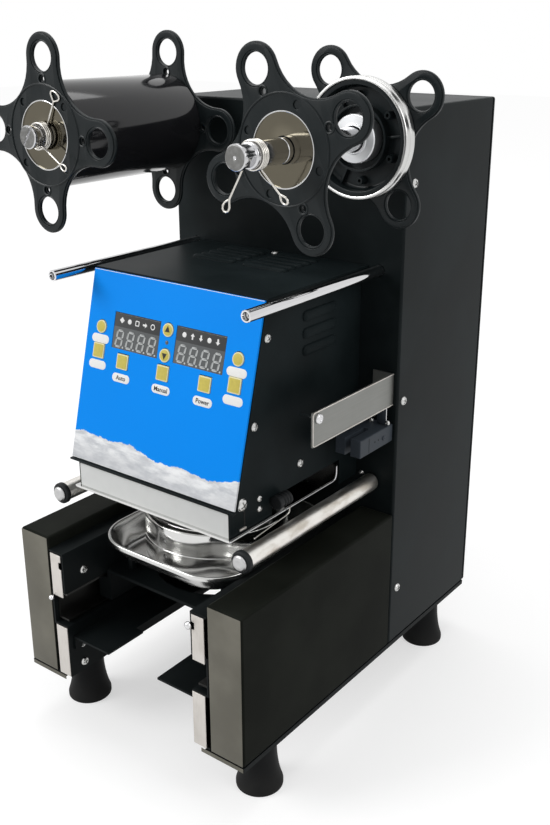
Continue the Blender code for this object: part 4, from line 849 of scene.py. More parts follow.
# %% Bosses behind the front flanges
boss_profile = [(10.4, 0.3), (10.4, -2.4), (39.5, -2.4), (40.6, -1.6), (41.0, 0.3), (10.4, 0.3)]
for word, place, body in FRONT_FACES:
    boss = turned(f"{word}_boss", boss_profile, 64, 0.5, place=place)
    complete(boss, flange_black, body)

# %% Film drum
drum_low, drum_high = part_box("take_up_drum")
drum_length = (drum_high.y - drum_low.y) / MM
drum_radius = (drum_high.x - drum_low.x) / 2 / MM
drum_profile = [(41.3, 0), (drum_radius, 0), (drum_radius, drum_length), (41.3, drum_length),
                (41.3, 0)]
drum = turned("film_drum", drum_profile, 128, 0.6, place=reel_place(-reel_x, drum_high.y),
              smooth=40)
complete(drum, drum_black, "take_up_reel", ["take_up_drum"])

# %% Cup, band and posts of the supply reel
cup_face = reel_place(reel_x, rear_back - 4 * MM)
cup_profile = [(10.2, 0.2), (10.2, 1.6), (39.5, 1.6), (41.3, 3.2), (41.7, 11.6), (45.2, 12.0),
               (45.5, 11.6), (45.5, 0.2), (10.2, 0.2)]
cup_wall = turned("core_cup", cup_profile, 96, 0.7, place=cup_face)
post_profile = [(0, 5.5), (1.4, 5.5), (1.4, 9.0), (2.9, 9.0), (3.2, 8.4), (3.6, 1.4), (0, 1.4)]
posts = [turned("post", post_profile, 20, place=cup_face @ Matrix.Translation((x * MM, y * MM, 0)))
         for x, y in around(33.5, 6, 35)]
ribs = []
for turn in range(5, 365, 120):
    rib = block("rib", (26 * MM, -0.8 * MM, 1.4 * MM), (41.4 * MM, 0.8 * MM, 5.5 * MM), 0.3 * MM)
    ribs.append(settle(rib, cup_face @ Matrix.Rotation(math.radians(turn), 4, "Z")))
ring_profile = [(24.6, 1.4), (24.8, 8.6), (25.6, 8.8), (26.4, 8.6), (26.6, 1.4), (24.6, 1.4)]
inner_ring = turned("ring", ring_profile, 64, place=cup_face)
complete(join("core_cup", cup_wall, *posts, *ribs, inner_ring), flange_black, "supply_reel")

# %% Hub and band of the supply reel
hub_profile = [(10.2, 1.7), (19.2, 1.7), (19.6, 2.2), (19.6, 13.2), (18.8, 14.2), (12.2, 14.2),
               (11.8, 15.4), (10.6, 15.6), (10.2, 15.2), (10.2, 1.7)]
cast_hub = worked_metal("cast_hub", (0.66, 0.67, 0.68), 0.34, (1, 1, 1), 420, 0.00006, 0.35)
complete(turned("hub_disc", hub_profile, 72, 0.2, place=cup_face), cast_hub, "supply_reel")
band_profile = [(45.8, 0.5), (45.8, 12.8), (46.6, 13.1), (48.0, 12.9), (48.4, 12.3), (48.4, 9.3),
                (47.7, 8.9), (47.7, 5.9), (48.4, 5.5), (48.4, 0.9), (48.0, 0.5), (45.8, 0.5)]
band_metal = worked_metal("core_band_metal", (0.62, 0.62, 0.61), 0.24, (1, 1, 1), 60, 0.000004)
complete(turned("core_band", band_profile, 128, 0.15, place=cup_face), band_metal, "supply_reel",
         ["supply_core_ring"])

# %% [markdown]
# ## Reel shafts and their spring clips
#
# A reel's shaft is turned steel, stepped and grooved, with flats cut on its narrow end.
# A clip holds the reel on it: a few close turns of spring wire that grip the shaft,
# with two legs ending in loops. Squeezing the legs opens the turns. The clip is a wire
# on one line of points: leg, coil, leg.

# %% Where the shafts are
tip_y = shaft_low.y
shaft_length = (shaft_high.y - tip_y) / MM


def shaft_place(x):
    """+Z of the shape looks back along the shaft, from its tip."""
    return backwards(x, tip_y, reel_z)


print("shaft length, mm:", round(shaft_length, 1))

# %% Shaft finish: bright sides, and a rougher end face painted darker, its darkness painted shade
bright_shaft = Finish("bright_shaft", (0.55, 0.55, 0.56), 0.13, metallic=1.0)
at = bright_shaft.place()
# The end face is rougher, as it is sawn, and its darker colour is painted shade.
sawn_end_and_shade = 1 - bright_shaft.parts(at)[1].between(tip_y + 0.15 * MM, tip_y + 0.4 * MM)
turning = bright_shaft.noise(bright_shaft.stretched(at, (1, 6, 1)), 260, 3, 0.6)
bright_shaft.give(Base_Color=bright_shaft.blend(sawn_end_and_shade * (0.7 + turning * 0.5), (0.55, 0.55, 0.56, 1),
                                                (0.14, 0.14, 0.135, 1)),
                  Roughness=0.12 + sawn_end_and_shade * 0.25 + turning * 0.06)
bright_shaft.bump(turning, 0.000008, 0.5)
print("shaft finish:", bright_shaft.material.name)

# %% Shafts
shaft_profile = [(0, 0.9), (0.9, 0.9), (1.6, 0.1), (8.4, 0), (9.5, 1.0), (9.5, 4.3), (9.0, 4.7),
                 (8.2, 4.8), (8.2, 14.6), (9.4, 15.0), (9.6, 15.4), (9.6, 49.6), (9.2, 50.0),
                 (9.2, 50.8), (9.6, 51.2), (9.6, shaft_length), (0, shaft_length)]
for word, x, body in (("left", -reel_x, "take_up_reel"), ("right", reel_x, "supply_reel")):
    shaft = turned(f"reel_shaft_turned_{word}", shaft_profile, 96, 0.25, smooth=30)
    cuts = [block("flat", (side * 10 * MM - 3.4 * MM, -12 * MM, 5.2 * MM),
                  (side * 10 * MM + 3.4 * MM, 12 * MM, 14.4 * MM)) for side in (-1, 1)]
    if word == "left":
        cuts.append(block("driver_slot", (-1.0 * MM, -12 * MM, -2 * MM),
                          (1.0 * MM, 12 * MM, 1.6 * MM)))
    for tool in cuts:
        cut_away(shaft, settle(tool, Matrix.Rotation(math.radians(35), 4, "Z")))
    complete(settle(shaft, shaft_place(x), 30), bright_shaft.material, body,
             [f"reel_shaft_{word}"])

# %% Spring clips
def spring_clip(name, x, y, first, last, turns, body):
    """Coil round the shaft from y forwards; first and last give where on the coil a leg
    starts, its own direction, both in degrees, its length and the size of its loop."""
    coil, gauge = 10.6, 0.85
    start, end = math.radians(first[0]), math.radians(last[0])
    end += 2 * math.pi * turns + (2 * math.pi if end < start else 0)
    rise = gauge * 2.08 / (2 * math.pi)
    steps = int((end - start) / math.radians(12))
    path = []
    for i in range(steps + 1):
        a = start + (end - start) * i / steps
        path.append((coil * math.cos(a), coil * math.sin(a), rise * (a - start)))

    def leg(from_point, aim, length, loop, height):
        """Straight out, then once round a long loop and back beside the leg."""
        ax, ay = math.cos(math.radians(aim)), math.sin(math.radians(aim))
        bx, by = -ay, ax
        shape = [(0.35, 0), (0.72, 0), (0.80, 1.3), (0.87, 2.4), (0.94, 2.5), (0.99, 1.5),
                 (1.0, 0.0), (0.97, -1.5), (0.91, -2.3), (0.84, -2.0), (0.78, -1.0), (0.74, -0.2)]
        fx, fy, fz = from_point
        return [(fx + ax * length * s + bx * w * loop, fy + ay * length * s + by * w * loop,
                 fz + height * s) for s, w in shape]

    line = leg(path[0], *first[1:], -0.4)[::-1] + path + leg(path[-1], *last[1:], 3.0)
    clip = wire(name, line, gauge, reel_place(x, y))
    return complete(clip, spring_wire, body)


spring_clip("take_up_clip", -reel_x, tip_y + 17 * MM, (55, 64, 29, 2.2), (-50, -29, 33, 1.0), 3,
            "take_up_reel")
spring_clip("supply_clip", reel_x, tip_y + 25 * MM, (-70, -45, 32, 1.0), (-128, -117, 37, 1.3), 3,
            "supply_reel")

# %% [markdown]
# ## Film rods and rollers
#
# Film hangs over two polished rods above the head and runs under two aluminium
# rollers below it. The rods are hollow at the tip, with a screw sunk in the hole. Each
# roller turns on a fixed axle between a black end ring and the column.

# %% Upper rods
rod_low, rod_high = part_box("upper_guide_rod_right")
rod_z = (rod_low.z + rod_high.z) / 2
rod_x = (rod_low.x + rod_high.x) / 2
rod_length = (column_low.y - rod_low.y) / MM
rod_profile = [(0, 9.0), (3.4, 9.0), (3.4, 0.3), (3.7, 0.0), (4.5, 0.0), (5.0, 0.5),
               (5.0, rod_length + 6), (0, rod_length + 6)]
socket_profile = [(0, 7.0), (1.2, 7.0), (1.2, 4.4), (1.8, 4.2), (3.0, 4.2), (3.2, 5.0), (3.2, 8.9),
                  (0, 8.9)]
for word, side in SIDES:
    along = backwards(side * rod_x, rod_low.y, rod_z)
    complete(turned(f"film_rod_{word}", rod_profile, 64, place=along), chrome, "machine",
             [f"upper_guide_rod_{word}"])
    complete(turned(f"film_rod_screw_{word}", socket_profile, 24, 0.2, place=along), turned_steel,
             "machine")

# %% Lower rollers, end rings and axle heads
roller_low, roller_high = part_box("lower_roller_right")
roller_x = (roller_low.x + roller_high.x) / 2
roller_z = (roller_low.z + roller_high.z) / 2
axle_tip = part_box("roller_axle_right")[0].y
roller_length = (roller_high.y - axle_tip) / MM
tube_profile = [(5.1, 8.2), (7.8, 8.2), (8.25, 8.7), (8.25, roller_length - 0.5),
                (7.8, roller_length), (5.1, roller_length), (5.1, 8.2)]
end_ring_profile = [(5.1, 3.0), (8.3, 3.0), (9.5, 3.6), (9.75, 4.4), (9.75, 7.4), (9.3, 8.0),
                    (5.1, 8.0), (5.1, 3.0)]
axle_profile = [(0, 0.9), (3.2, 0.35), (5.8, 0.7), (6.9, 1.8), (6.9, 2.7), (4.7, 2.7),
                (4.7, roller_length + 4), (7.0, roller_length + 4), (7.0, roller_length + 8),
                (0, roller_length + 8)]
for word, side in SIDES:
    along = backwards(side * roller_x, axle_tip, roller_z)
    complete(turned(f"film_roller_{word}", tube_profile, 72, place=along), brushed_roller,
             f"roller_{word}", [f"lower_roller_{word}"])
    complete(turned(f"roller_end_ring_{word}", end_ring_profile, 64, 0.3, place=along),
             fitting_black, f"roller_{word}")
    complete(turned(f"roller_axle_turned_{word}", axle_profile, 48, 0.3, place=along), plated_steel,
             "machine", [f"roller_axle_{word}"])

# %% [markdown]
# ## Cup tray
#
# The tray is a dish drawn from one stainless sheet: a rolled rim, a wall that curves
# down in a wide sweep, and a flat floor with a round hole. A plane with rounded
# corners is inset step by step, and each step goes a little deeper, which is close to
# what the press does to the sheet. A Solidify modifier gives it its thickness.

# %% Dish
TRAY_CORNER, TRAY_SHEET, CUP_HOLE = 40 * MM, 1.2 * MM, 52 * MM
HALF_WIDTH, HALF_LENGTH = 78, 88   # of the rim, in mm
tray_centre = (tray_high + tray_low) / 2
bpy.ops.object.select_all(action="DESELECT")
bpy.ops.mesh.primitive_plane_add(size=1, location=(tray_centre.x, tray_centre.y, tray_high.z))
dish = bpy.context.object
dish.name = "tray_dish"
dish.scale = (tray_high.x - tray_low.x, tray_high.y - tray_low.y, 1)
bpy.ops.object.transform_apply(location=True, rotation=True, scale=True)
open_up(dish, "VERT")
bpy.ops.mesh.select_all(action="SELECT")
bpy.ops.mesh.bevel(offset=TRAY_CORNER, segments=16, affect="VERTICES", profile=0.5)
open_up(dish, "FACE")
bpy.ops.mesh.select_all(action="SELECT")
for inward, down in ((0.5, -0.35), (1.0, 0.0), (1.0, 0.5), (1.0, 1.6), (1.6, 3.4), (2.0, 4.4),
                     (2.6, 4.4), (3.0, 3.2), (3.0, 1.7), (3.0, 0.7), (3.0, 0.15)):
    bpy.ops.mesh.inset(thickness=inward * MM, depth=-down * MM)
dish_floor = min(v.co.z for v in bmesh.from_edit_mesh(dish.data).verts)
print("dish floor at z, mm:", round(dish_floor / MM, 1))
open_up(dish, "EDGE")
bpy.ops.mesh.select_non_manifold()
for out, down in ((0.3, 0.5), (0.0, 3.2)):
    bpy.ops.mesh.extrude_region_move(TRANSFORM_OT_translate={"value": (0, 0, -down * MM)})
    bpy.ops.transform.resize(value=(1 + out / HALF_WIDTH, 1 + out / HALF_LENGTH, 1),
                             center_override=tuple(tray_centre))
bpy.ops.mesh.select_all(action="SELECT")
bpy.ops.mesh.normals_make_consistent(inside=False)
bpy.ops.object.mode_set(mode="OBJECT")

# %% Thickness and the cup's hole
thicken(dish, TRAY_SHEET)
bpy.ops.mesh.primitive_cylinder_add(vertices=96, radius=CUP_HOLE, depth=0.1,
                                    location=(0, cup_y, tray_low.z))
cut_away(dish, bpy.context.object)
pressed_steel = worked_metal("pressed_steel", (0.60, 0.60, 0.59), 0.17, (1, 0.3, 1), 300, 0.00001)
complete(settle(dish, smooth=40), pressed_steel, "tray", ["cup_tray"])

# %% [markdown]
# ## Cup collar
#
# The cup hangs by its rim in a turned collar. It is two rings screwed together, so a
# fine groove runs round it, with a sunk screw above and below the groove at the front.
# Inside its top are steps for a rubber ring that the heater presses on.

# %% Collar
COLLAR_RADIUS = 67.5   # mm
top = (collar_high.z - collar_low.z) / MM
collar_profile = [(54.2, 0), (66.6, 0), (COLLAR_RADIUS, 0.7), (COLLAR_RADIUS, 18.2), (66.9, 18.6),
                  (66.9, 19.0), (COLLAR_RADIUS, 19.4), (COLLAR_RADIUS, top - 1.2), (66.4, top - 0.1),
                  (62.6, top), (62.2, top - 0.9), (60.4, top - 1.0), (60.1, top - 0.1),
                  (58.2, top - 0.1), (57.8, top - 2.2), (55.0, top - 2.6), (54.7, top - 3.6),
                  (51.2, top - 3.6), (50.8, top - 4.6), (48.6, top - 4.8), (48.2, top - 6.0),
                  (48.0, 20.6), (54.0, 20.4), (54.2, 0)]
collar = turned("collar_ring", collar_profile, 144, 0.25,
                place=Matrix.Translation((0, cup_y, collar_low.z)))
sunk_places = []
for height in (11.9, 27.5):
    for aim in (-4, 116, 236):
        x, y = math.sin(math.radians(aim)), -math.cos(math.radians(aim))
        point = (COLLAR_RADIUS * MM * x, cup_y + COLLAR_RADIUS * MM * y, collar_low.z + height * MM)
        sunk_places.append(aimed(point, (x, y, 0)))
for place in sunk_places:
    bpy.ops.object.select_all(action="DESELECT")
    bpy.ops.mesh.primitive_cylinder_add(vertices=20, radius=2.6 * MM, depth=6 * MM)
    drill = bpy.context.object
    drill.data.transform(place)
    cut_away(collar, drill)
complete(settle(collar, smooth=30), polished_steel, "tray", ["cup_collar"])

# %% Rubber ring in the collar's top, and its sunk screws
seal_profile = [(55.2, -2.55), (55.4, -1.9), (56.4, -1.6), (57.4, -1.9), (57.6, -2.3),
                (55.2, -2.55)]
seal = turned("collar_seal", seal_profile, 96, place=Matrix.Translation((0, cup_y, collar_high.z)))
complete(seal, foot_rubber, "tray")
sunk_profile = [(0, -1.3), (0.8, -1.3), (0.9, -0.7), (1.9, -0.6), (2.2, -1.0), (2.2, -2.6),
                (0, -2.6)]
sunk_screws = [turned("sunk", sunk_profile, 16, place=place) for place in sunk_places]
complete(join("collar_screws", *sunk_screws), turned_steel, "tray")

# %% [markdown]
# ## Feet
#
# A foot is a bell of rubber round a bolt. Its foot flares in one curve, and ends in a
# short upright lip.

# %% Bell feet
foot_profile = [(0, 1.2), (15, 1.2), (16, 0), (20.2, 0), (21.0, 0.8), (21.0, 4.6), (20.4, 6.2),
                (18.9, 11.0), (17.5, 17.0), (16.4, 24.0), (15.6, 32.0), (15.2, 42.0), (15.2, 48.6),
                (14.5, 50.6), (0, 50.6)]
bell = turned("foot_pattern", foot_profile, 64, 1.2, smooth=50)
for row in ("front", "rear"):
    for word in ("left", "right"):
        node = f"foot_{row}_{word}"
        low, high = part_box(node)
        under = Matrix.Translation(((low.x + high.x) / 2, (low.y + high.y) / 2, low.z))
        foot = copy_of(bell, f"bell_{node}", under)
        complete(foot, foot_rubber, "machine", [node])
bpy.data.objects.remove(bell)

# %% [markdown]
# ## Keys and display
#
# A key is a soft yellow cap with a lighter border, a little proud of the panel. The
# border is a plate with a thinner pad on it, and the two are joined into one piece. Each cap
# moves on its own body, and replaces the plain CAD cap.

# %% Panel places and helpers
def on_panel(u, v, out=0.0):
    """A place on the panel: u across, v up it, out from its face, in mm."""
    return panel_frame @ Matrix.Translation((u * MM, v * MM, out * MM))


def rounded(width, height, radius, steps=6):
    """Outline of a rounded rectangle round the origin."""
    points = []
    for cx, cy, start in ((1, -1, -90), (1, 1, 0), (-1, 1, 90), (-1, -1, 180)):
        points += bow(cx * (width / 2 - radius), cy * (height / 2 - radius), radius, start,
                      start + 90, steps)
    return points


def label(name, outlines, u, v, low, high, finish, edge=0.04):
    """A flat print on the panel, between two heights over its face."""
    sheet = plate(name, outlines, low, high, edge, on_panel(u, v))
    return complete(sheet, finish, "machine", quiet=True)


print("panel foot, mm:", [round(c / MM, 1) for c in panel_foot])

# %% Key caps
KEY_PLACES = {"key_left_round": (-77, 121), "key_left_square": (-77, 99.8), "key_auto": (-47.2, 95),
              "key_manual": (0, 94.5), "key_power": (46.5, 94.5), "key_right_square": (77, 99.8),
              "key_right_round": (77, 121), "key_up": (0, 131), "key_down": (0, 109.5)}


def key_cap(name, is_round):
    """A cap from 3 mm under the panel's face to 1.2 mm over it: a border with a pad in it."""
    outer = ring_points(0, 0, 5.7, 48) if is_round else rounded(13, 13, 0.9)
    inner = ring_points(0, 0, 4.7, 48) if is_round else rounded(11, 11, 0.6)
    border = plate(name, [outer], -3.0, 1.05, 0.2)
    border.data.materials.append(key_edge)
    pad = plate(name + "_pad", [inner], 1.0, 1.2, 0.08)
    pad.data.materials.append(key_yellow)
    return join(name, border, pad)


round_cap, square_cap = key_cap("round_pattern", True), key_cap("square_pattern", False)
for name, (u, v) in KEY_PLACES.items():
    pattern = round_cap if "round" in name or name in ("key_up", "key_down") else square_cap
    complete(copy_of(pattern, name + "_cap", on_panel(u, v)), None, name, [name],
             quiet=True)
print("keys:", len(KEY_PLACES))

# %% Arrowheads on the up and down keys
for name, aim in (("key_up", 90), ("key_down", -90)):
    u, v = KEY_PLACES[name]
    place = on_panel(u, v) @ Matrix.Rotation(math.radians(aim), 4, "Z")
    arrow = plate(name + "_arrow", [ring_points(0, 0, 3.5, 3)], 1.3, 1.5, 0.05,
                  place @ Matrix.Diagonal((1, 0.86, 1, 1)))
    complete(arrow, key_ink, name)
for pattern in (round_cap, square_cap):
    bpy.data.objects.remove(pattern)

# %% Captions: white lozenges, and a word where it is an everyday one
CAPTIONS = {"caption_left_upper": (-77, 110.4, ""), "caption_left_lower": (-77, 87.5, ""),
            "caption_right_upper": (77, 110.4, ""), "caption_right_lower": (77, 87.5, ""),
            "caption_auto": (-47, 80.7, "Auto"), "caption_manual": (0, 80.4, "Manual"),
            "caption_power": (46.4, 80.0, "Power")}
for name, (u, v, word) in CAPTIONS.items():
    label(name, [rounded(20.5, 7.6, 3.7, 8)], u, v, 0.0, 0.25, caption_white)
    if word:
        bpy.ops.object.select_all(action="DESELECT")
        bpy.ops.object.text_add()
        text = bpy.context.object
        text.name = name + "_word"
        text.data.body, text.data.size = word, 5.4 * MM
        text.data.align_x, text.data.align_y = "CENTER", "CENTER"
        text.data.extrude, text.data.offset = 0.06 * MM, 0.10 * MM
        bpy.ops.object.convert(target="MESH")
        complete(settle(bpy.context.object, on_panel(u, v - 0.1, 0.27), 10), key_ink, "machine",
                 quiet=True)
print("captions:", len(CAPTIONS))

# %% [markdown]
# ## Seven-segment display
#
# A digit is seven bars, each a hexagon with pointed ends. One bar is made, its middle
# inset so that its rim is a lighter colour, and it is copied into place for every
# segment. All the bars of one display are joined into one piece.

# %% One segment
def segment(length, width):
    half, tip = length / 2, width / 2
    outline = [(-half, 0), (-half + tip, -tip), (half - tip, -tip), (half, 0), (half - tip, tip),
               (-half + tip, tip)]
    bar = plate("segment", [outline], 0, 0.12, 0.02)
    open_up(bar, "FACE")
    big = 0.4 * length * width * MM * MM
    pick(bar, "faces", lambda face: face.normal.z > 0.9 and face.calc_area() > big)
    bpy.ops.mesh.inset(thickness=0.42 * MM, depth=0.0)
    bpy.ops.object.mode_set(mode="OBJECT")
    bar.data.materials.append(segment_rim)
    bar.data.materials.append(segment_face)
    biggest = max(bar.data.polygons, key=lambda p: p.area * (p.normal.z > 0.9))
    biggest.material_index = 1
    return bar


def digits(name, centre_u, centre_v):
    """Four slanted digits with their points."""
    bar = segment(6.1, 1.75)
    dot = plate("dot", [ring_points(0, 0, 0.85, 12)], 0, 0.12, 0.02)
    dot.data.materials.append(segment_rim)
    slant = Matrix(((1, 0.12, 0, 0), (0, 1, 0, 0), (0, 0, 1, 0), (0, 0, 0, 1)))
    upright = Matrix.Rotation(math.pi / 2, 4, "Z")
    places = [(0, 6.9, False), (0, 0, False), (0, -6.9, False), (3.35, 3.45, True),
              (3.35, -3.45, True), (-3.35, 3.45, True), (-3.35, -3.45, True)]
    pieces = []
    for i in range(4):
        base = on_panel(centre_u - 18.9 + i * 12.6, centre_v, -0.12) @ slant
        for x, y, up in places:
            pieces.append(copy_of(bar, "bar", base @ Matrix.Translation((x * MM, y * MM, 0))
                                  @ (upright if up else Matrix.Identity(4))))
        pieces.append(copy_of(dot, "dot", base @ Matrix.Translation((5.9 * MM, -7.2 * MM, 0))))
    for pattern in (bar, dot):
        bpy.data.objects.remove(pattern)
    return complete(join(name, *pieces), None, "machine")


# %% Display windows, signs and digits
SIGNS = {
    "ring": [ring_points(0, 0, 2.5, 24), ring_points(0, 0, 1.7, 24)],
    "disc": [ring_points(0, 0, 2.2, 24)],
    "square": [rounded(4.6, 4.6, 0.7), rounded(3.0, 3.0, 0.4)],
    "diamond": [ring_points(0, 0, 2.8, 4)],
    "right": [[(-2.4, -0.8), (0.2, -0.8), (0.2, -2.2), (2.6, 0), (0.2, 2.2), (0.2, 0.8),
               (-2.4, 0.8)]],
    "up": [[(-0.8, -2.6), (0.8, -2.6), (0.8, 0.1), (2.2, 0.1), (0, 2.6), (-2.2, 0.1), (-0.8, 0.1)]],
    "down": [[(0.8, 2.6), (-0.8, 2.6), (-0.8, -0.1), (-2.2, -0.1), (0, -2.6), (2.2, -0.1),
              (0.8, -0.1)]],
}
for word, side, signs in (("left", -1, ("diamond", "disc", "square", "right", "ring")),
                          ("right", 1, ("disc", "up", "down", "disc", "down"))):
    u = side * 35.9
    label(f"display_window_{word}", [rounded(53.2, 30.7, 0.6, 3)], u, 120.5, -0.45, -0.15,
          glass_grey)
    label(f"display_band_{word}", [rounded(53.0, 11.4, 0.4, 3)], u, 130.0, -0.20, -0.10,
          glass_dark, 0.02)
    digits(f"digits_{word}", u, 114.2)
    marks = [plate("mark", SIGNS[sign], -0.1, 0.0, 0.02, on_panel(u - 18 + i * 9, 130.2))
             for i, sign in enumerate(signs)]
    complete(join(f"signs_{word}", *marks), icon_white, "machine", quiet=True)
lamp = turned("status_lamp", [(0, 0.9), (1.0, 0.75), (1.8, 0.2), (2.0, -1.5), (0, -1.5)], 32, 0.2,
              place=on_panel(0, 120.4))
complete(lamp, glass_grey, "machine")

# %% [markdown]
# ## Edges of the panel, and the strip under it
#
# The sheet shows its pale core along its top edge. Under the panel, the upright face
# of the head carries a plain pale sticker with nothing on it, and the cover ends in a
# small folded lip.

# %% Panel edge and plain strip
edge_strip = block("panel_top_edge", (-94.2 * MM, 169.5 * MM, -1.9 * MM),
                   (94.2 * MM, 170.0 * MM, 0.15 * MM), 0.12 * MM)
complete(settle(edge_strip, panel_frame), caption_white, "machine")
strip = plate("plain_strip", [rounded(173, 22, 1.2)], 0.05, 0.3, 0.05,
              forwards(0, head_low.y, 248 * MM))
complete(strip, sticker_white, "machine")
lip = block("cover_lip", (-95 * MM, head_low.y - 4.3 * MM, 261.9 * MM),
            (95 * MM, head_low.y - 0.3 * MM, 263.6 * MM), 0.5 * MM)
complete(settle(lip), black_paint, "machine")

# %% [markdown]
# ## Screws
#
# A pan-head screw is turned, then a cross is cut in it with a Boolean. Screws are
# small and many, so the pattern has few faces, and each copy is scaled to its size.

# %% Screw pattern, radius 1 mm, head towards +Z
dome_profile = [(0, 0.50), (0.45, 0.47), (0.78, 0.34), (0.96, 0.12), (1.0, -0.05), (0, -0.05)]
head = turned("screw_pattern", dome_profile, 20)
for turn in (0, 90):
    cross = block("cross", (-0.62 * MM, -0.13 * MM, 0.12 * MM), (0.62 * MM, 0.13 * MM, 1 * MM))
    cut_away(head, settle(cross, Matrix.Rotation(math.radians(turn), 4, "Z")))
screw_pattern = settle(head, smooth=25)
screw_steel = worked_metal("screw_steel", (0.58, 0.58, 0.57), 0.2, (1, 1, 1), 500, 0.00001, 0.3)
print("screw pattern:", len(screw_pattern.data.polygons), "faces")


def screws(name, points, out, radius):
    """Screws at points in metres, all looking out; their crosses stand at different angles."""
    copies = []
    for i, point in enumerate(points):
        place = aimed(point, out, 25 + 37 * i) @ Matrix.Diagonal((radius, radius, radius * 1.1, 1))
        copies.append(copy_of(screw_pattern, "screw", place))
    return complete(join(name, *copies), screw_steel, "machine", quiet=True)


# %% Screws in the sides: plane, the way they look, radius, and places (y, z) in mm
column_side, head_side = column_high.x + 0.05 * MM, head_high.x + 0.05 * MM
channel_side = carrier_low.x - 0.05 * MM
SIDE_SCREWS = {
    "column_screws": (column_side, 1, 4.2, ((48, 503), (44, 308), (46, 114))),
    "head_screws": (head_side, 1, 4.0, ((-102, 395), (-120, 325), (-57, 271))),
    "head_corner_screws": (head_side, 1, 2.9, ((-114, 259), (-114, 249.5))),
    "head_lock_screw": (head_side, 1, 6.0, ((-137.5, 262.4),)),
    "channel_screws": (channel_side, -1, 4.3, ((-167, 160.6), (-175, 86.6), (-174, 66.3))),
}
for word, side in SIDES:
    for name, (plane, looks, radius, places) in SIDE_SCREWS.items():
        screws(f"{name}_{word}", [(side * plane, y * MM, z * MM) for y, z in places],
               (side * looks, 0, 0), radius)
print("kinds of side screw:", len(SIDE_SCREWS))

# %% Screws in the other faces
back = column_high.y + 2.35 * MM
screws("head_top_screw", [(-1 * MM, 24.5 * MM, 430.3 * MM)], (0, 0, 1), 3.6)
screws("sensor_screws", [(125.2 * MM, 25.4 * MM, 291.2 * MM), (108.0 * MM, 25.4 * MM, 289.9 * MM)],
       (0, -1, 0), 2.4)
screws("column_front_screws", [(x * MM, 33.6 * MM, 231 * MM) for x in (-93.7, 93.7)],
       (0, -1, 0), 2.6)
screws("rear_screws", [(x * MM, back, z * MM) for x in (-122, 122)
                       for z in (64, 180, 311, 440, 558)], (0, 1, 0), 3.2)
print("outside screws placed")

# %% [markdown]
# ## Louvres
#
# Air slots in thin sheet are pressed, not sawn: the sheet is cut along one line and
# bulged out beside it, which leaves a half-round hood. A round-ended bar is turned,
# flattened and cut by two planes, and what is left gets the sheet's thickness.

# %% One hood, 48 mm long, opening towards -Y
HOOD_ROUND, HOOD_STRAIGHT = 4.3, 19.7   # mm: radius of the ends, half the straight part
hood_outline = [(HOOD_ROUND * math.cos(math.radians(a)),
                 math.copysign(HOOD_STRAIGHT, a) + HOOD_ROUND * math.sin(math.radians(a)))
                for a in (*range(-90, 0, 15), -0.1, 0.1, *range(15, 91, 15))]
hood = turned("hood_pattern", hood_outline, 32)
settle(hood, Matrix.Diagonal((1, 1.22, 0.62, 1)) @ Matrix.Rotation(math.pi / 2, 4, "Y"))
for plane, cut_y in (((0, 0, -1), 0), ((0, -1, 0), -3.2 * MM)):
    open_up(hood, "FACE")
    bpy.ops.mesh.select_all(action="SELECT")
    bpy.ops.mesh.bisect(plane_co=(0, cut_y, 0), plane_no=plane, clear_outer=True)
bpy.ops.object.mode_set(mode="OBJECT")
thicken(hood, 0.9 * MM)
settle(hood, smooth=50)
print("hood:", len(hood.data.polygons), "faces")

# %% Rows on the head
head_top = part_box("head_cover")[1].z
half_turn = Matrix.Rotation(math.pi, 4, "Z")


def louvres(name, places):
    hoods = [copy_of(hood, "hood", place) for place in places]
    complete(join(name, *hoods), head_paint, "machine")


louvres("top_louvres", [Matrix.Translation((x * MM, (-28.4 + 11 * row) * MM, head_top)) @ half_turn
                        for x in (-29, 29) for row in range(5)])
for word, side in SIDES:
    outward = Matrix(((0, 0, side, 0), (side, 0, 0, 0), (0, 1, 0, 0), (0, 0, 0, 1)))
    louvres(f"side_louvres_{word}", [
        Matrix.Translation((side * head_high.x, -30 * MM, z * MM)) @ outward
        for z in (401.3, 386.3, 371.3)])
bpy.data.objects.remove(hood)
bpy.data.objects.remove(screw_pattern)

# %% [markdown]
# ## The ends of the arms
#
# Each arm is a black box, and a thin warm grey sheet on its front face holds a painted
# reflection: the warm sheen that the black front takes from the room. Beside it, two machined
# plates cap the channel that carries the tray rail. The upper one has a notch for the
# film latch, a small polished knob. Flat shapes like these are drawn as outlines and
# given a thickness, and the worn metal finish shows their handling.

# %% Painted-sheen front sheets and channel plates
# The warm grey of the arm front sheets and base lips is a painted reflection: the room's sheen on
# the black paint.
painted_sheen_grey = powder_coat("painted_sheen_grey", (0.140, 0.134, 0.112), 0.42)
arm_face = forwards(0, arm_low.y, 0)


def boxed(side, inner, outer, foot, top):
    """A rectangle on one side, between two distances from the middle and two heights."""
    x0, x1 = sorted((side * inner, side * outer))
    return [(x0, foot), (x1, foot), (x1, top), (x0, top)]


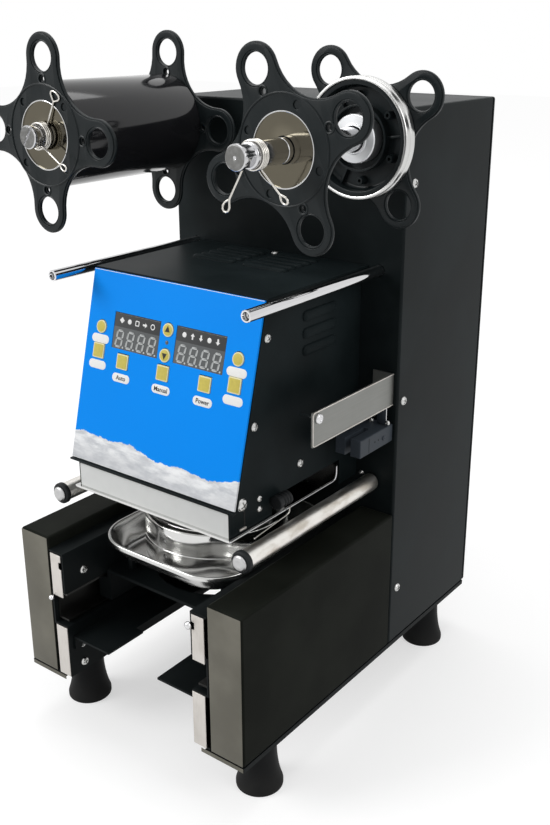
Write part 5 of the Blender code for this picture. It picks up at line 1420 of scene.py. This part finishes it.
for word, side in SIDES:
    # Front sheet that carries the painted sheen.
    sheen_sheet = plate(f"arm_front_painted_sheen_{word}", [boxed(side, 95.2, 129.0, 57.4, 195.8)],
                      0.05, 0.5, 0.18, arm_face)
    complete(sheen_sheet, painted_sheen_grey, "machine", quiet=True)
    inner, outer, deeper = side * 78.2, side * 91.2, side * 81.2
    notched = [(inner, 141.0), (outer, 141.0), (outer, 183.6), (inner, 183.6), (inner, 177.0),
               (deeper, 176.4), (deeper, 170.0), (inner, 169.4)]
    upper = plate(f"channel_plate_upper_{word}", [notched], 0.05, 1.1, 0.3, arm_face)
    lower = plate(f"channel_plate_lower_{word}", [boxed(side, 76.6, 90.4, 58.0, 109.6)],
                  0.05, 1.1, 0.3, arm_face)
    complete(join(f"channel_plates_{word}", upper, lower), edge_metal, "machine",
             quiet=True)
    # The base lip carries the same painted sheen.
    base_lip = plate(f"base_lip_{word}", [boxed(side, 84.0, 129.4, 51.7, 55.5)],
                     0.05, 0.45, 0.15, arm_face)
    complete(base_lip, painted_sheen_grey, "machine", quiet=True)
print("arm ends are closed at y, mm:", round(arm_low.y / MM, 1))

# %% Film latch knobs
knob_profile = [(0, 5.6), (1.6, 5.4), (2.9, 4.5), (3.5, 3.0), (3.1, 1.6), (2.2, 1.2), (2.2, 1.15),
                (0, 1.15)]
for word, x, z, size in (("left", -91.3, 138.4, 0.76), ("right", 76.2, 173.2, 1.0)):
    knob = turned(f"film_latch_knob_{word}", [(r * size, h) for r, h in knob_profile], 28, 0.3,
                  place=aimed((x * MM, arm_low.y, z * MM), (0, -1, 0)))
    complete(knob, chrome, "machine")

# %% [markdown]
# ## Parts under the head and at its side
#
# The film plate has a bright rolled edge that turns up at the back. Beside the head
# stand a ribbed rubber sleeve and a thin tension wire, and a slot with a small metal
# lip runs down from the lock screw. The slot is a thin black sheet whose black is
# painted shade.

# %% Film plate edges and tension wires
film_low, film_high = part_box("film_plate")
y0, y1, z = film_low.y / MM, film_high.y / MM, film_low.z / MM + 1.0
for word, side in SIDES:
    x = side * (film_high.x / MM + 0.9)
    edge = [(x, y0 + 0.5, z), (x, y1 - 9, z), (x, y1 - 5.5, z + 0.9), (x, y1 - 3.2, z + 3.0),
            (x, y1 - 2.4, z + 6.0), (x, y1 - 2.4, z + 13.5)]
    complete(wire(f"film_plate_edge_{word}", edge, 0.75), chrome, "machine")
    x = side * 93.6
    tension = [(x, -128, 229.6), (x, -86, 233.2), (x, -81.5, 233.9), (x, -79.6, 235.4),
               (x, -79.2, 239.5)]
    complete(wire(f"tension_wire_{word}", tension, 0.7), spring_wire, "machine")
print("film plate runs from y", round(y0, 1), "to", round(y1, 1), "mm")

# %% Ribbed sleeves, and the slot's painted shade with its lip
sleeve_profile = [(0, 0), (5.6, 0), (6.2, 0.6), (6.2, 4.6), (5.2, 5.2), (5.2, 6.4), (6.2, 7.0),
                  (6.2, 8.2), (5.2, 8.8), (5.2, 10.0), (6.2, 10.6), (6.2, 11.8), (5.2, 12.4),
                  (5.2, 13.6), (6.2, 14.2), (6.2, 16.5), (0, 16.5)]
for word, side in SIDES:
    along = backwards(side * 95.0 * MM, -101 * MM, 251.5 * MM)
    complete(turned(f"ribbed_sleeve_{word}", sleeve_profile, 40, 0.3, place=along), fitting_black,
             "machine")
    x0, x1 = sorted((side * (head_high.x + 0.03 * MM), side * (head_high.x + 0.16 * MM)))
    # The slot is a thin black sheet: its black is painted shade.
    groove = block(f"side_slot_painted_shade_{word}", (x0, -134.9 * MM, 241.0 * MM),
                   (x1, -133.3 * MM, 256.0 * MM), 0.04 * MM)
    complete(settle(groove), hole_shade_and_seam_black, "machine", quiet=True)
    x0, x1 = sorted((side * (head_high.x + 0.05 * MM), side * (head_high.x + 1.9 * MM)))
    tab = block(f"side_lip_{word}", (x0, -141.5 * MM, 240.2 * MM), (x1, -133.4 * MM, 242.0 * MM),
                0.4 * MM)
    complete(settle(tab), edge_metal, "machine", quiet=True)

# %% [markdown]
# ## Film guide plate and sensor
#
# The guide plate's cut edges are brighter than its face. It hangs on a stud with a
# round nut at its front corner. The film sensor is a moulded fork on a thin bracket,
# with a small round adjuster and two test holes in its outer side. The holes are black
# discs of painted shade, beside a dark seam.

# %% Guide plate edges and stud
guide_low, guide_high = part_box("film_guide_plate")
gx, gy0, gy1 = guide_high.x / MM, guide_low.y / MM, guide_high.y / MM
gz0, gz1 = guide_low.z / MM, guide_high.z / MM
rim = [(gx, gy1 - 0.5, gz1 - 0.4), (gx, gy0 + 2.2, gz1 - 0.4), (gx, gy0 + 0.4, gz1 - 2.0),
       (gx, gy0 + 0.4, gz0 + 2.0), (gx, gy0 + 2.2, gz0 + 0.4), (gx, gy1 - 0.5, gz0 + 0.4)]
complete(wire("guide_plate_rim", rim, 0.55), edge_metal, "machine")
stud_profile = [(0, -18), (1.9, -18), (1.9, 0.1), (4.4, 0.1), (4.4, 1.6), (3.8, 2.6), (2.0, 3.1),
                (1.9, 2.5), (0, 2.5)]
stud = turned("guide_stud", stud_profile, 32, 0.3,
              place=aimed((gx * MM, -83.7 * MM, 329.7 * MM), (1, 0, 0)))
complete(stud, chrome, "machine")

# %% Sensor details
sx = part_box("film_sensor")[1].x
adjuster_profile = [(0, 0.7), (0.5, 0.7), (0.6, 1.1), (2.0, 1.0), (2.3, 0.05), (0, 0.05)]
knob = turned("sensor_adjuster", adjuster_profile, 28, 0.1,
              place=aimed((sx, 18.3 * MM, 278.9 * MM), (1, 0, 0)))
complete(knob, sensor_grey, "machine")
# The two test holes are black discs of painted shade; the seam is a dark joint.
test_hole_shades = [turned("dot", [(0, 0.12), (0.8, 0.12), (0.9, 0.03), (0, 0.03)], 14,
               place=aimed((sx, y * MM, 280 * MM), (1, 0, 0))) for y in (3.8, 9.5)]
seam = settle(block("seam", (sx + 0.03 * MM, -6.2 * MM, 273 * MM),
                    (sx + 0.12 * MM, -5.6 * MM, 286.5 * MM), 0.03 * MM))
complete(join("sensor_hole_shades_and_seam", *test_hole_shades, seam), hole_shade_and_seam_black, "machine")
hanger = block("sensor_bracket", (113.5 * MM, 25.6 * MM, 288.4 * MM),
               (123.2 * MM, 26.8 * MM, 305.6 * MM), 0.35 * MM)
complete(settle(hanger), sensor_grey, "machine")
hanger_edge = wire("sensor_bracket_edge", [(123.4, 25.9, 288.8), (123.4, 25.9, 305.2)], 0.45)
complete(hanger_edge, chrome, "machine")
